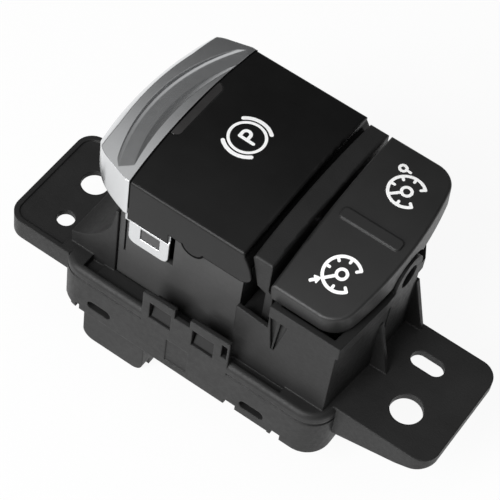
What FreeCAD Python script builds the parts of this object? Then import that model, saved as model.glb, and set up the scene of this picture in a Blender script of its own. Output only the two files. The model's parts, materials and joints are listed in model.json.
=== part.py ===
import FreeCAD, Part
import Sketcher
import math
import os
from FreeCAD import Placement, Rotation, Vector

# Electric parking brake switch with a speed rocker beside it, in millimetres.
# X runs along the long side, -Y is the near side, +Z is up.
# The origin is under the middle of the part, on the surface that it rests on.

# Driving dimensions: alias, number, meaning.
SIZES = [
    # Frame, flange and skirt
    ("flange_length", 114.0, "overall length over both screw tabs"),
    ("frame_width", 58.2, "overall width over the near and far skirts"),
    ("flange_height", 31.0, "top of the screw tabs above the base"),
    ("frame_left", -40.6, "left end of the middle frame"),
    ("frame_right", 33.0, "right end of the middle frame"),
    ("frame_far_right", 23.4, "where the cut back corner meets the far skirt"),
    ("frame_bend_right", 29.2, "middle of the cut back corner, along X"),
    ("frame_bend_far", 15.0, "middle of the cut back corner, along Y"),
    ("frame_corner", 6.5, "radius of the frame's corners"),
    ("skirt_depth", 15.6, "skirt below the flange"),
    ("skirt_wall", 1.8, "wall of the skirt"),
    ("deck_plate", 1.6, "plate under the trough"),
    ("trough_depth", 1.2, "trough behind the rim"),
    ("trough_step", 0.8, "deeper left end of the trough"),
    ("bead_radius", 1.4, "rounded top edge of the rim"),
    ("groove_depth", 0.35, "shadow groove under the rounded rim"),
    ("groove_height", 0.8, "height of the shadow groove"),
    ("groove_drop", 2.9, "shadow groove below the flange"),
    # Screw tabs
    ("tab_plate", 1.9, "plate of the screw tabs"),
    ("tab_wall", 1.5, "turned down rim of the screw tabs"),
    ("tab_depth", 6.0, "depth of the left tab's rim"),
    ("tab_corner", 4.5, "outer corners of the tabs"),
    ("left_tab_near", -27.0, "near edge of the left tab"),
    ("left_tab_far", 4.5, "far edge of the left tab"),
    ("left_tab_recess", 0.4, "sunk top of the left tab"),
    ("left_tab_border", 1.3, "raised border round the sunk top"),
    ("right_tab_near", -23.0, "near edge of the right tab"),
    ("right_tab_far", 8.2, "far edge of the right tab"),
    ("right_tab_depth", 10.0, "rim of the right tab beside the frame"),
    ("right_tab_edge_depth", 2.5, "rim of the right tab at its end"),
    ("right_tab_slope", 7.6, "sloping part of that rim, along X"),
    ("screw_hole_radius", 2.2, "screw hole in the left tab and half width of the slot"),
    ("screw_hole_along", -45.45, "left screw hole, along X"),
    ("screw_hole_across", -19.3, "left screw hole, along Y"),
    ("left_locator_radius", 3.4, "large hole in the left tab"),
    ("left_locator_along", -46.35, "large left hole, along X"),
    ("left_locator_across", -7.0, "large left hole, along Y"),
    ("slot_along", 42.65, "middle of the slot in the right tab, along X"),
    ("slot_across", -0.3, "middle of the slot, along Y"),
    ("slot_length", 8.5, "slot from end to end"),
    ("right_locator_radius", 3.9, "large hole in the right tab"),
    ("right_locator_along", 45.25, "large right hole, along X"),
    ("right_locator_across", -13.3, "large right hole, along Y"),
    # Clip wall on the near skirt
    ("clip_wall_left", -16.3, "left end of the clip wall"),
    ("clip_wall_right", 7.4, "right end of the clip wall"),
    ("clip_wall_height", 8.0, "clip wall above the flange"),
    ("clip_wall_thickness", 1.2, "clip wall above the flange, along Y"),
    ("clip_width", 5.9, "latch window, along X"),
    ("clip_height", 6.0, "latch window, up"),
    ("clip_sill_drop", 0.8, "lower edge of the latch windows below the flange"),
    ("left_clip_along", -11.35, "middle of the left latch window"),
    ("right_clip_along", 0.4, "middle of the right latch window"),
    ("clip_notch_width", 4.2, "notch between the windows"),
    ("clip_notch_depth", 2.9, "depth of the notch"),
    ("clip_slot_along", 6.1, "narrow slot at the wall's right end"),
    ("clip_slot_width", 1.5, "width of the narrow slot"),
    ("clip_slot_height", 4.9, "height of the narrow slot"),
    ("vent_length", 6.6, "obround slot in the skirt"),
    ("vent_height", 3.0, "height of the obround slot"),
    ("vent_rise", 4.4, "middle of the obround slots above the skirt's lower edge"),
    ("left_vent_along", -28.0, "left obround slot"),
    ("right_vent_along", 15.2, "right obround slot"),
    ("label_recess", 0.25, "shallow recess in the skirt between the slots"),
    # Rocker tower, divider and boss
    ("tower_left", 13.6, "left face of the tower"),
    ("tower_right", 30.6, "right face of the tower at its near corner"),
    ("tower_belly", 32.2, "right face of the tower at its middle"),
    ("tower_far_right", 21.6, "right face of the tower at its far end"),
    ("tower_inset", 3.7, "near face of the tower from the near skirt"),
    ("tower_drop", 0.8, "top of the tower's walls below the rocker's axis"),
    ("tower_wall", 1.6, "wall of the tower"),
    ("collar_height", 3.8, "flared collar round the tower's top"),
    ("collar_flare", 0.6, "flare of the collar"),
    ("tower_recess_depth", 0.9, "tapered recess in the tower's near face"),
    ("tower_rib", 1.0, "rib in the middle of that recess"),
    ("divider_left", 5.9, "left face of the divider's head"),
    ("divider_right", 11.05, "right face of the divider's head"),
    ("divider_leg_left", 10.4, "left face of the divider's leg"),
    ("divider_leg_right", 12.35, "right face of the divider's leg"),
    ("divider_margin", 0.1, "divider's ends inside the housing's"),
    ("sill_drop", 12.2, "sill beside the divider's leg, below the brake button's axis"),
    ("sill_wall", 1.2, "thin wall that closes the sill at its ends"),
    ("sill_wall_height", 3.8, "height of that thin wall"),
    ("boss_radius", 5.3, "boss that carries the rocker's axle"),
    ("boss_face", 32.8, "face of the boss"),
    ("boss_mouth_radius", 2.9, "recess round the axle's end"),
    ("boss_mouth_depth", 1.2, "depth of that recess"),
    ("gusset_thickness", 1.2, "gussets between the tower and the right tab"),
    ("gusset_spacing", 14.8, "from gusset to gusset, along Y"),
    ("gusset_reach", 4.2, "gusset along X"),
    ("gusset_height", 16.0, "gusset above the flange"),
    # Finger scoop
    ("scoop_rise", 3.7, "height of the scoop's outer ridge above the flange"),
    ("scoop_drop", 4.7, "scoop beside the housing, below the brake button's axis"),
    ("scoop_inset", 5.6, "ends of the scoop from the skirt"),
    ("scoop_radius", 19.0, "hollow of the scoop"),
    # Brake switch housing
    ("housing_left", -27.95, "left face of the brake housing"),
    ("housing_right", 4.8, "right face of the brake housing"),
    ("housing_inset", 6.2, "near face of the brake housing from the near skirt"),
    ("housing_wall", 1.4, "wall of the brake housing"),
    ("housing_top_drop", 0.2, "top of the long walls below the brake button's axis"),
    ("housing_left_drop", 4.0, "top of the left wall below the brake button's axis"),
    ("housing_floor_rise", 3.0, "inner floor of the housing above the flange"),
    ("housing_flange", 1.5, "flange under the deck"),
    ("housing_lip", 1.5, "width of that flange"),
    ("housing_gap", 0.2, "gap round the housing in the deck"),
    # Brake button
    ("pivot_along", -8.25, "brake button's axis, along X"),
    ("pivot_height", 57.2, "brake button's axis above the base"),
    ("button_left", -25.55, "left end of the black cap at its corners"),
    ("button_right", 4.55, "right end of the black cap's top"),
    ("button_belly", 2.4, "bulge of the cap's right end below its top"),
    ("button_end_radius", 15.5, "curve of that end, up and down"),
    ("button_heel", 3.0, "round lower corner of that end"),
    ("button_overhang", 1.0, "cap beyond the housing, on each side"),
    ("button_rise", 9.2, "near and far edges of the cap's top above the axis"),
    ("button_crown_radius", 195.0, "crown of the cap across the part"),
    ("button_bow", 1.0, "bow of the edge between cap and lip"),
    ("button_skirt", 0.8, "thickness of the cap's skirts"),
    ("button_plate", 2.0, "thickness of the cap's top"),
    ("button_skirt_drop", 4.2, "lower edge of the skirt's left part below the axis"),
    ("button_skirt_notch", 0.9, "lower edge of the skirt's right part below the axis"),
    ("button_skirt_step", -14.6, "where the skirt's lower edge steps"),
    ("button_round", 0.7, "top edges of the cap"),
    ("ear_radius", 2.7, "round ear of the cap at the axis"),
    ("ear_gap", 0.45, "gap round the ear"),
    ("button_fit", 0.25, "gap between cap and lip"),
    ("axle_radius", 1.25, "brake button's axle"),
    ("axle_play", 0.05, "running clearance round both axles"),
    ("hub_radius", 3.2, "hubs round the brake button's axle"),
    ("hub_inset", 6.0, "inner face of the hubs from the housing's end"),
    ("hub_length", 3.0, "length of each hub"),
    ("web_thickness", 2.0, "webs that hold the axle"),
    ("carrier_rise", 6.8, "top of the button's carrier above the axis"),
    ("carrier_plate", 3.0, "plate of the carrier"),
    ("carrier_inset", 1.7, "ends of the carrier from the housing's end"),
    # Chrome lip
    ("lip_across", -2.5, "middle of the lip's round outline, along Y"),
    ("lip_centre", 47.0, "centre of the lip's round outline, along X"),
    ("lip_outer", -39.6, "outer edge of the lip at its middle"),
    ("lip_bottom_drop", 2.7, "underside of the lip below the axis"),
    ("lip_knee", -31.1, "where the flat underside ends"),
    ("lip_belly", 8.5, "radius of the lip's underside"),
    ("lip_nose", 5.2, "radius of the lip's nose"),
    ("lip_crease", -37.2, "upper edge of the nose at the lip's middle"),
    ("lip_scoop_centre", 13.4, "centre of the crescent in the lip's top, along X"),
    ("lip_scoop_outer", -35.2, "outer edge of the crescent"),
    ("lip_scoop_inner", -29.0, "inner edge of the crescent"),
    ("lip_scoop_rise", 9.45, "bottom of the crescent above the axis"),
    ("lip_corner", 8.0, "round corners between nose and end faces in plan"),
    ("loop_left", -25.0, "left side of the snap loop"),
    ("loop_width", 10.8, "width of the snap loop"),
    ("loop_drop", 11.8, "lowest edge of the snap loop below the axis"),
    ("loop_left_leg", 3.1, "left leg of the snap loop"),
    ("loop_right_leg", 2.5, "right leg of the snap loop"),
    ("loop_bar", 2.9, "lower bar of the snap loop"),
    ("loop_round", 1.9, "lower corners of the snap loop"),
    ("loop_thickness", 0.85, "snap loop, along Y"),
    ("strap_thickness", 0.4, "strap behind the cap's skirt"),
    # Indicator lens
    ("lens_length", 18.0, "indicator lens, across the part"),
    ("lens_width", 2.2, "indicator lens, along X"),
    ("lens_depth", 1.8, "lens below the top of the crown"),
    ("lens_across", 0.6, "middle of the lens"),
    ("lens_corner", 1.6, "round ends of the lens"),
    # Plungers under the brake button
    ("plunger_arm", 7.9, "plungers from the axis, along X"),
    ("plunger_side", 3.6, "square plunger"),
    ("plunger_play", 0.3, "gap between plunger and guide"),
    ("plunger_lift", 1.7, "gap under the plungers, over the rubber domes"),
    ("plunger_collar", 3.3, "radius of the collar under the plunger's head"),
    ("plunger_collar_height", 1.2, "thickness of that collar"),
    ("plunger_collar_drop", 3.5, "underside of the collar below the axis"),
    ("arm_drop", 1.0, "lower face of the arms below the axis"),
    ("arm_gap", 0.3, "gap between arm and plunger"),
    ("guide_height", 8.0, "guide sleeve above the housing's floor"),
    ("guide_wall", 1.2, "wall of the guide sleeve"),
    ("spring_radius", 2.9, "mean radius of the return springs"),
    ("spring_wire", 0.3, "wire radius of the return springs"),
    # Rocker
    ("rocker_axis_across", -0.6, "rocker's axis, along Y"),
    ("rocker_axis_rise", 0.2, "rocker's axis above the brake button's axis"),
    ("rocker_rest_tilt", 7.0, "tilt of the latched rocker, near end down"),
    ("rocker_left", 12.25, "left side of the rocker"),
    ("rocker_half", 23.1, "half length of the rocker"),
    ("rocker_corner", 6.0, "round corners on the right"),
    ("rocker_corner_along", 30.4, "right side where the corners start"),
    ("rocker_corner_across", 18.5, "corner start, from the rocker's middle"),
    ("rocker_bow_radius", 88.0, "bow of the rocker's right side"),
    ("rocker_top_rise", 10.5, "top of the level rocker above its axis"),
    ("rocker_crown_radius", 112.0, "crown of the rocker"),
    ("rocker_skirt_rise", 2.6, "lower edge of the level skirt above its axis"),
    ("rocker_wall", 1.5, "wall of the rocker cap"),
    ("rocker_inner_rise", 6.2, "underside of the rocker cap's top above its axis"),
    ("rocker_round", 0.7, "top edges of the rocker"),
    ("rocker_arch_radius", 6.5, "arch of the skirt over the boss"),
    ("bar_length", 15.4, "raised bar on the rocker"),
    ("bar_width", 2.9, "width of the raised bar"),
    ("bar_height", 0.4, "height of the raised bar"),
    ("bar_along", 22.35, "middle of the raised bar"),
    ("bar_across", -0.5, "raised bar from the rocker's axis"),
    ("rocker_axle_radius", 2.0, "rocker's axle"),
    ("rocker_plate", 2.4, "plate of the rocker's carrier"),
    ("lug_radius", 4.2, "lugs of the rocker's carrier"),
    ("lug_length", 3.0, "length of each lug"),
    ("lug_gap", 0.6, "gap between lug and tower"),
    ("stem_side", 5.0, "square stem under the rocker"),
    ("stem_drop", 15.0, "stem below the axis"),
    ("stem_along", 21.0, "middle of the stem"),
    ("detent_radius", 1.4, "detent plunger"),
    ("detent_length", 9.0, "length of the detent plunger"),
    ("detent_reach", 20.0, "tip of the detent plunger from the axis"),
    ("detent_ceiling", 3.5, "top of the detent's bore below the axis"),
    ("detent_gap", 0.3, "gap between the tip and the track"),
    ("detent_notch", 0.5, "depth of the track's three notches"),
    ("notch_radius", 1.7, "radius of those notches"),
    ("notch_pitch", 2.47, "notches from each other"),
    ("track_half", 6.0, "half length of the detent track"),
    ("track_width", 6.0, "width of the detent track"),
    # Lower housing
    ("tub_near_inset", 10.6, "near face of the lower housing's deep part from the skirt"),
    ("tub_far_inset", 4.1, "far face of the lower housing from the skirt"),
    ("tub_left", -34.2, "left face of the lower housing"),
    ("tub_right", 22.5, "right face of the lower housing"),
    ("tub_corner", 3.0, "corners of the lower housing"),
    ("tub_wall", 1.8, "wall of the lower housing"),
    ("tub_fit", 0.25, "gap between lower housing and skirt"),
    ("shoulder_drop", 1.8, "shoulder of the lower housing below the skirt"),
    ("rim_rise", 5.6, "rim that carries the board above the skirt's lower edge"),
    ("socket_width", 17.5, "connector shroud, along X"),
    ("socket_inset", 3.1, "near face of the connector shroud from the skirt"),
    ("socket_depth", 13.0, "mouth of the connector, along Y"),
    ("socket_wall", 1.6, "wall of the connector shroud"),
    ("socket_cavity", 13.0, "depth of the connector's mouth"),
    ("socket_corner", 3.0, "round lower corners of the shroud"),
    ("hook_thickness", 1.2, "latch tongues"),
    ("hook_reach", 1.2, "hooks of the latch tongues"),
    # Board and what it carries
    ("board_thickness", 1.6, "circuit board"),
    ("board_inset", 2.0, "board from the skirt's inner face"),
    ("mat_thickness", 1.0, "rubber contact mat"),
    ("mat_margin", 5.0, "mat beyond the domes, along X"),
    ("mat_near", 9.0, "mat from the middle towards the near side"),
    ("dome_radius", 3.0, "rubber dome"),
    ("dome_height", 1.6, "rubber dome above the mat"),
    ("pin_side", 0.64, "square connector pin"),
    ("pin_pitch", 2.54, "pitch of the connector pins"),
    ("pin_reach", 4.0, "lower end of the pins above the base"),
    ("pin_solder", 1.0, "pins above the board"),
    ("lamp_side", 1.6, "side of the indicator lamps"),
    ("lamp_height", 0.8, "height of the indicator lamps"),
    ("guide_plate", 1.8, "thickness of the light guides"),
    ("guide_width", 6.0, "width of the light guides"),
    ("guide_foot", 1.4, "feet of the light guides on the board"),
    ("brake_guide_inset", 1.55, "brake button's light guide from the cap's left end"),
    ("rocker_guide_offset", 7.2, "rocker's light guide from its axis, along Y"),
    # Screws
    ("screw_radius", 1.1, "self tapping screw"),
    ("screw_head_radius", 2.2, "head of that screw"),
    ("screw_head_height", 1.6, "height of the head"),
    ("screw_grip", 8.0, "length of the screw below its head"),
    ("screw_post", 2.8, "posts for the board's screws"),
    ("screw_across", 16.0, "housing screws from the middle, along Y"),
    ("screw_land", 3.6, "housing screws beside the housing, along X"),
]

COLUMNS = 4
TURNS = 6

DOCUMENT = FreeCAD.newDocument("parking_brake_switch")
SHEET = DOCUMENT.addObject("Spreadsheet::Sheet", "Sizes")


class Dim:
    """A size with its number and the sheet expression that gives it."""

    def __init__(self, value, text):
        self.value = float(value)
        self.text = text

    @staticmethod
    def of(other):
        return other if isinstance(other, Dim) else Dim(other, repr(float(other)))

    def join(self, other, sign, value):
        return Dim(value, f"({self.text} {sign} {Dim.of(other).text})")

    def __add__(self, other):
        return self.join(other, "+", self.value + Dim.of(other).value)

    def __sub__(self, other):
        return self.join(other, "-", self.value - Dim.of(other).value)

    def __mul__(self, other):
        return self.join(other, "*", self.value * Dim.of(other).value)

    def __truediv__(self, other):
        return self.join(other, "/", self.value / Dim.of(other).value)

    def __radd__(self, other):
        return Dim.of(other) + self

    def __rsub__(self, other):
        return Dim.of(other) - self

    def __rmul__(self, other):
        return Dim.of(other) * self

    def __neg__(self):
        return Dim(-self.value, f"(-1 * {self.text})")


def root(size):
    """The square root of a size."""
    return Dim(math.sqrt(size.value), f"sqrt({size.text})")


class Sheet:
    """The driving dimensions by name."""


s = Sheet()
for row, (alias, number, meaning) in enumerate(SIZES, 1):
    SHEET.set(f"A{row}", meaning)
    SHEET.set(f"B{row}", str(number))
    SHEET.setAlias(f"B{row}", alias)
    setattr(s, alias, Dim(number, f"Sizes.{alias}"))
DOCUMENT.recompute()


def bind(thing, path, size):
    """Set a property and tie it to the sheet."""
    thing.setExpression(path, Dim.of(size).text)


def is_zero(size):
    return isinstance(size, (int, float)) and size == 0


class Moulding:
    """One sub-part, built feature by feature as a body."""

    # Plane role, the sign of its normal along the world axis, and that axis.
    PLANES = {"XY": ("XY_Plane", 1), "XZ": ("XZ_Plane", -1), "YZ": ("YZ_Plane", 1)}

    def __init__(self, name, several=False):
        self.name = name
        self.body = DOCUMENT.addObject("PartDesign::Body", name)
        self.body.Label = name
        self.body.AllowCompound = several
        self.count = 0

    def plane(self, name):
        role = self.PLANES[name][0]
        return next(f for f in self.body.Origin.OriginFeatures if f.Role == role)

    def sketch(self, plane, level, loops, along=0):
        """A sketch on a base plane, moved to a level along the world axis and sideways."""
        self.count += 1
        made = self.body.newObject("Sketcher::SketchObject", f"{self.name}_outline_{self.count}")
        made.AttachmentSupport = [(self.plane(plane), "")]
        made.MapMode = "FlatFace"
        bind(made, "AttachmentOffset.Base.z", self.PLANES[plane][1] * Dim.of(level))
        bind(made, "AttachmentOffset.Base.x", along)
        for loop in loops:
            draw(made, loop)
        return made

    def feature(self, kind, sketch):
        made = self.body.newObject(f"PartDesign::{kind}", f"{self.name}_{kind}_{self.count}")
        made.Profile = sketch
        sketch.Visibility = False
        return made

    def add(self, plane, low, high, *loops):
        """Add a prism between two levels."""
        start = low if self.PLANES[plane][1] > 0 else high
        pad = self.feature("Pad", self.sketch(plane, start, loops))
        bind(pad, "Length", Dim.of(high) - low)
        return pad

    def cut(self, plane, low, high, *loops):
        """Cut a prism away between two levels."""
        start = high if self.PLANES[plane][1] > 0 else low
        pocket = self.feature("Pocket", self.sketch(plane, start, loops))
        bind(pocket, "Length", Dim.of(high) - low)
        return pocket

    def turn(self, kind, centre, angle, *loops, level=0):
        """Turn a section in the XZ plane about an upright axis; the section is drawn from that axis."""
        section = self.sketch("XZ", level, loops, centre)
        made = self.feature(kind, section)
        made.ReferenceAxis = (section, ["V_Axis"])
        made.Midplane = True
        bind(made, "Angle", angle)
        return made

    def edges(self, along, spots):
        """Names of the straight edges along an axis at the given spots."""
        DOCUMENT.recompute()
        axes = "xyz"
        across = [a for a in axes if a != along]
        names = []
        for number, edge in enumerate(self.body.Tip.Shape.Edges, 1):
            if edge.Curve.TypeId != "Part::GeomLine":
                continue
            first, last = (v.Point for v in (edge.Vertexes[0], edge.Vertexes[-1]))
            if any(abs(getattr(first, a) - getattr(last, a)) > 1e-4 for a in across):
                continue
            for spot in spots:
                wanted = [Dim.of(v).value for v in spot]
                if all(abs(getattr(first, a) - v) < 1e-3 for a, v in zip(across, wanted)):
                    names.append(f"Edge{number}")
        return names

    def edges_between(self, low, high, keep=lambda box: True):
        """Names of the edges that lie wholly between two heights."""
        DOCUMENT.recompute()
        names = []
        for number, edge in enumerate(self.body.Tip.Shape.Edges, 1):
            box = edge.BoundBox
            if box.ZMin > Dim.of(low).value - 1e-3 and box.ZMax < Dim.of(high).value + 1e-3 and keep(box):
                names.append(f"Edge{number}")
        return names

    def round(self, radius, names):
        """Round the named edges of the last feature."""
        base = self.body.Tip
        made = self.body.newObject("PartDesign::Fillet", f"{self.name}_round_{self.count}")
        made.Base = (base, names)
        bind(made, "Radius", radius)
        return made


def draw(sketch, loop):
    """Add one closed loop: a circle, or corners whose third value is an arc's radius."""
    if loop[0] == "circle":
        _, x, y, radius = loop
        centre = Vector(Dim.of(x).value, Dim.of(y).value, 0)
        curve = Part.Circle(centre, Vector(0, 0, 1), Dim.of(radius).value)
        place = sketch.addGeometry(curve, False)
        pin_point(sketch, place, 3, x, y)
        fix(sketch, "Radius", (place,), radius)
        return
    corners = [(c[0], c[1], c[2] if len(c) > 2 else None) for c in loop]
    places = []
    for number, (x, y, radius) in enumerate(corners):
        after = corners[(number + 1) % len(corners)]
        start = Vector(Dim.of(x).value, Dim.of(y).value, 0)
        end = Vector(Dim.of(after[0]).value, Dim.of(after[1]).value, 0)
        if radius is None:
            places.append((sketch.addGeometry(Part.LineSegment(start, end), False), 1, 2))
            continue
        places.append(draw_arc(sketch, start, end, radius, x, y))
    for number, (place, first, _) in enumerate(places):
        before = places[number - 1]
        sketch.addConstraint(Sketcher.Constraint("Coincident", before[0], before[2], place, first))
        pin_point(sketch, place, first, corners[number][0], corners[number][1])


def draw_arc(sketch, start, end, radius, x, y):
    """An arc between two corners; a negative radius makes it hollow."""
    size = Dim.of(radius)
    reach = abs(size.value)
    chord = end - start
    middle = start + chord * 0.5
    across = Vector(-chord.y, chord.x, 0).normalize()
    rise = math.sqrt(max(reach ** 2 - (chord.Length / 2) ** 2, 0.0))
    centre = middle + across * math.copysign(rise, size.value)
    swept = (start, end) if size.value > 0 else (end, start)
    angles = [math.atan2(p.y - centre.y, p.x - centre.x) for p in swept]
    circle = Part.Circle(centre, Vector(0, 0, 1), reach)
    place = sketch.addGeometry(Part.ArcOfCircle(circle, *angles), False)
    if rise > 1e-4:
        fix(sketch, "Radius", (place,), size if size.value > 0 else -size)
    elif abs(chord.x) < abs(chord.y):
        pin_along(sketch, "DistanceX", place, 3, x)
    else:
        pin_along(sketch, "DistanceY", place, 3, y)
    return (place, 1, 2) if size.value > 0 else (place, 2, 1)


def fix(sketch, kind, where, size):
    """A measured constraint, tied to the sheet."""
    number = sketch.addConstraint(Sketcher.Constraint(kind, *where, Dim.of(size).value))
    bind(sketch, f"Constraints[{number}]", size)


def pin_along(sketch, kind, place, point, size):
    if is_zero(size):
        sketch.addConstraint(Sketcher.Constraint("PointOnObject", place, point, -2 if kind == "DistanceX" else -1))
    else:
        fix(sketch, kind, (-1, 1, place, point), size)


def pin_point(sketch, place, point, x, y):
    pin_along(sketch, "DistanceX", place, point, x)
    pin_along(sketch, "DistanceY", place, point, y)


def rect(left, near, right, far, radius=None):
    """A rectangle with square or round corners."""
    left, near, right, far = (Dim.of(v) for v in (left, near, right, far))
    if radius is None:
        return [(left, near), (right, near), (right, far), (left, far)]
    r = Dim.of(radius)
    return [
        (left + r, near), (right - r, near, r), (right, near + r), (right, far - r, r),
        (right - r, far), (left + r, far, r), (left, far - r), (left, near + r, r),
    ]


def obround(x, y, length, half):
    """A slot with round ends, along the first axis."""
    x, y, length, half = (Dim.of(v) for v in (x, y, length, half))
    reach = length / 2 - half
    return [(x - reach, y - half), (x + reach, y - half, half), (x + reach, y + half), (x - reach, y + half, half)]


def circle(x, y, radius):
    return ("circle", x, y, radius)


# Levels and places shared by the pieces
frame_half = s.frame_width / 2
rim_inner = frame_half - s.skirt_wall
skirt_low = s.flange_height - s.skirt_depth
trough_floor = s.flange_height - s.trough_depth
deck_low = trough_floor - s.deck_plate
tab_under = s.flange_height - s.tab_plate
left_tab_end = -s.flange_length / 2
right_tab_end = s.flange_length / 2
clip_sill = s.flange_height - s.clip_sill_drop
housing_half = frame_half - s.housing_inset
housing_inner = housing_half - s.housing_wall
housing_floor = s.flange_height + s.housing_floor_rise
housing_top = s.pivot_height - s.housing_top_drop
tower_half = frame_half - s.tower_inset
divider_half = housing_half - s.divider_margin
sill_top = s.pivot_height - s.sill_drop
scoop_top = s.pivot_height - s.scoop_drop
button_half = housing_half + s.button_overhang
button_inner = button_half - s.button_skirt
button_edge = s.pivot_height + s.button_rise
button_sagitta = s.button_crown_radius - root(
    s.button_crown_radius * s.button_crown_radius - button_half * button_half)
button_edge_bow = (button_half * button_half + s.button_bow * s.button_bow) / (2 * s.button_bow)
skirt_left_low = s.pivot_height - s.button_skirt_drop
carrier_top = s.pivot_height + s.carrier_rise
carrier_low = carrier_top - s.carrier_plate
carrier_half = housing_half - s.carrier_inset
hub_inner = housing_half - s.hub_inset
loop_low = s.pivot_height - s.loop_drop
loop_right = s.loop_left + s.loop_width
push_along = s.pivot_along - s.plunger_arm
pull_along = s.pivot_along + s.plunger_arm
arm_low = s.pivot_height - s.arm_drop
rocker_axis = s.pivot_height + s.rocker_axis_rise
rocker_inner_top = rocker_axis + s.rocker_inner_rise
tower_top = rocker_axis - s.tower_drop
tub_near = frame_half - s.tub_near_inset
tub_far = frame_half - s.tub_far_inset
shoulder_low = skirt_low - s.shoulder_drop
board_low = skirt_low + s.rim_rise
board_high = board_low + s.board_thickness
mat_high = board_high + s.mat_thickness
socket_near = s.socket_inset - frame_half
socket_far = socket_near + s.socket_depth + 2 * s.socket_wall
socket_right = s.tub_left + s.socket_width
rocker_right = s.rocker_corner_along + s.rocker_bow_radius - root(
    s.rocker_bow_radius * s.rocker_bow_radius - s.rocker_corner_across * s.rocker_corner_across)
brake_guide_along = s.button_left + s.brake_guide_inset
rocker_guide_across = s.rocker_axis_across - s.rocker_guide_offset


def frame_outline(inset):
    """Plan of the middle frame, with its far right corner cut back."""
    left = s.frame_left + inset
    right = s.frame_right - inset
    side = frame_half - inset
    corner = s.frame_corner - inset
    return [
        (left + corner, -side), (right - corner, -side, corner), (right, corner - side), (right, s.right_tab_far),
        (s.frame_bend_right - 1.1 * inset, s.frame_bend_far), (s.frame_far_right - 0.7 * inset, side),
        (left + corner, side, corner), (left, side - corner), (left, corner - side, corner),
    ]


def tower_outline(inset):
    """Plan of the rocker's tower, bellied on the right."""
    half = tower_half - inset
    left = s.tower_left + inset
    belly = s.tower_belly - inset
    return [
        (left, -half), (s.tower_right - inset, -half), (belly, -0.35 * tower_half), (belly, 0.25 * tower_half),
        (s.tower_far_right - 0.9 * inset, half), (left, half),
    ]


def collar_outline(flare):
    """Plan of the collar, flush with the tower's near face."""
    belly = s.tower_belly + flare
    return [
        (s.tower_left - 0.4 * flare, -tower_half), (s.tower_right + flare, -tower_half),
        (belly, -0.35 * tower_half), (belly, 0.25 * tower_half),
        (s.tower_far_right + flare, tower_half), (s.tower_left - 0.4 * flare, tower_half),
    ]


def left_tab(inset, root_reach):
    """Plan of the left tab; its root reaches into the frame."""
    corner = s.tab_corner - inset
    left = left_tab_end + inset
    near = s.left_tab_near + inset
    far = s.left_tab_far - inset
    right = s.frame_left + root_reach
    return [
        (left + corner, near), (right, near), (right, far), (left + corner, far, corner),
        (left, far - corner), (left, near + corner, corner),
    ]


def right_tab(inset, root_reach):
    """Plan of the right tab; its root reaches into the frame."""
    corner = s.tab_corner - inset
    right = right_tab_end - inset
    near = s.right_tab_near + inset
    far = s.right_tab_far - inset
    left = s.frame_right - root_reach
    return [
        (left, near), (right - corner, near, corner), (right, near + corner), (right, far - corner, corner),
        (right - corner, far), (left, far),
    ]


def round_holes():
    """Places and radii of the round holes in the tabs."""
    return [
        (s.screw_hole_along, s.screw_hole_across, s.screw_hole_radius),
        (s.left_locator_along, s.left_locator_across, s.left_locator_radius),
        (s.right_locator_along, s.right_locator_across, s.right_locator_radius),
    ]


def housing_screw_places():
    """Where the screws clamp the brake housing's flange."""
    left = s.housing_left - s.screw_land
    right = s.housing_right + s.screw_land
    return [(x, y) for x in (left, right) for y in (-s.screw_across, s.screw_across)]


def board_screw_places():
    """Where the screws hold the board on the lower housing's posts."""
    near = s.screw_post + 2.8 - tub_near
    far = tub_far - s.screw_post - 2.6
    right = s.tub_right - s.screw_post - 2.7
    return [(s.tub_left + s.screw_post + 2.9, far), (right, far), (right, near)]


def skirt_marks():
    """Steps and notches in the skirt's lower edge: left end, right end and height."""
    return [
        (s.frame_left - 1, s.frame_left + 4.4, 0.6), (s.frame_left + 6.0, s.frame_left + 7.0, 1.7),
        (7.9, 11.0, 2.0), (11.0, 20.0, 0.4), (20.9, 23.4, 1.9),
    ]


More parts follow.
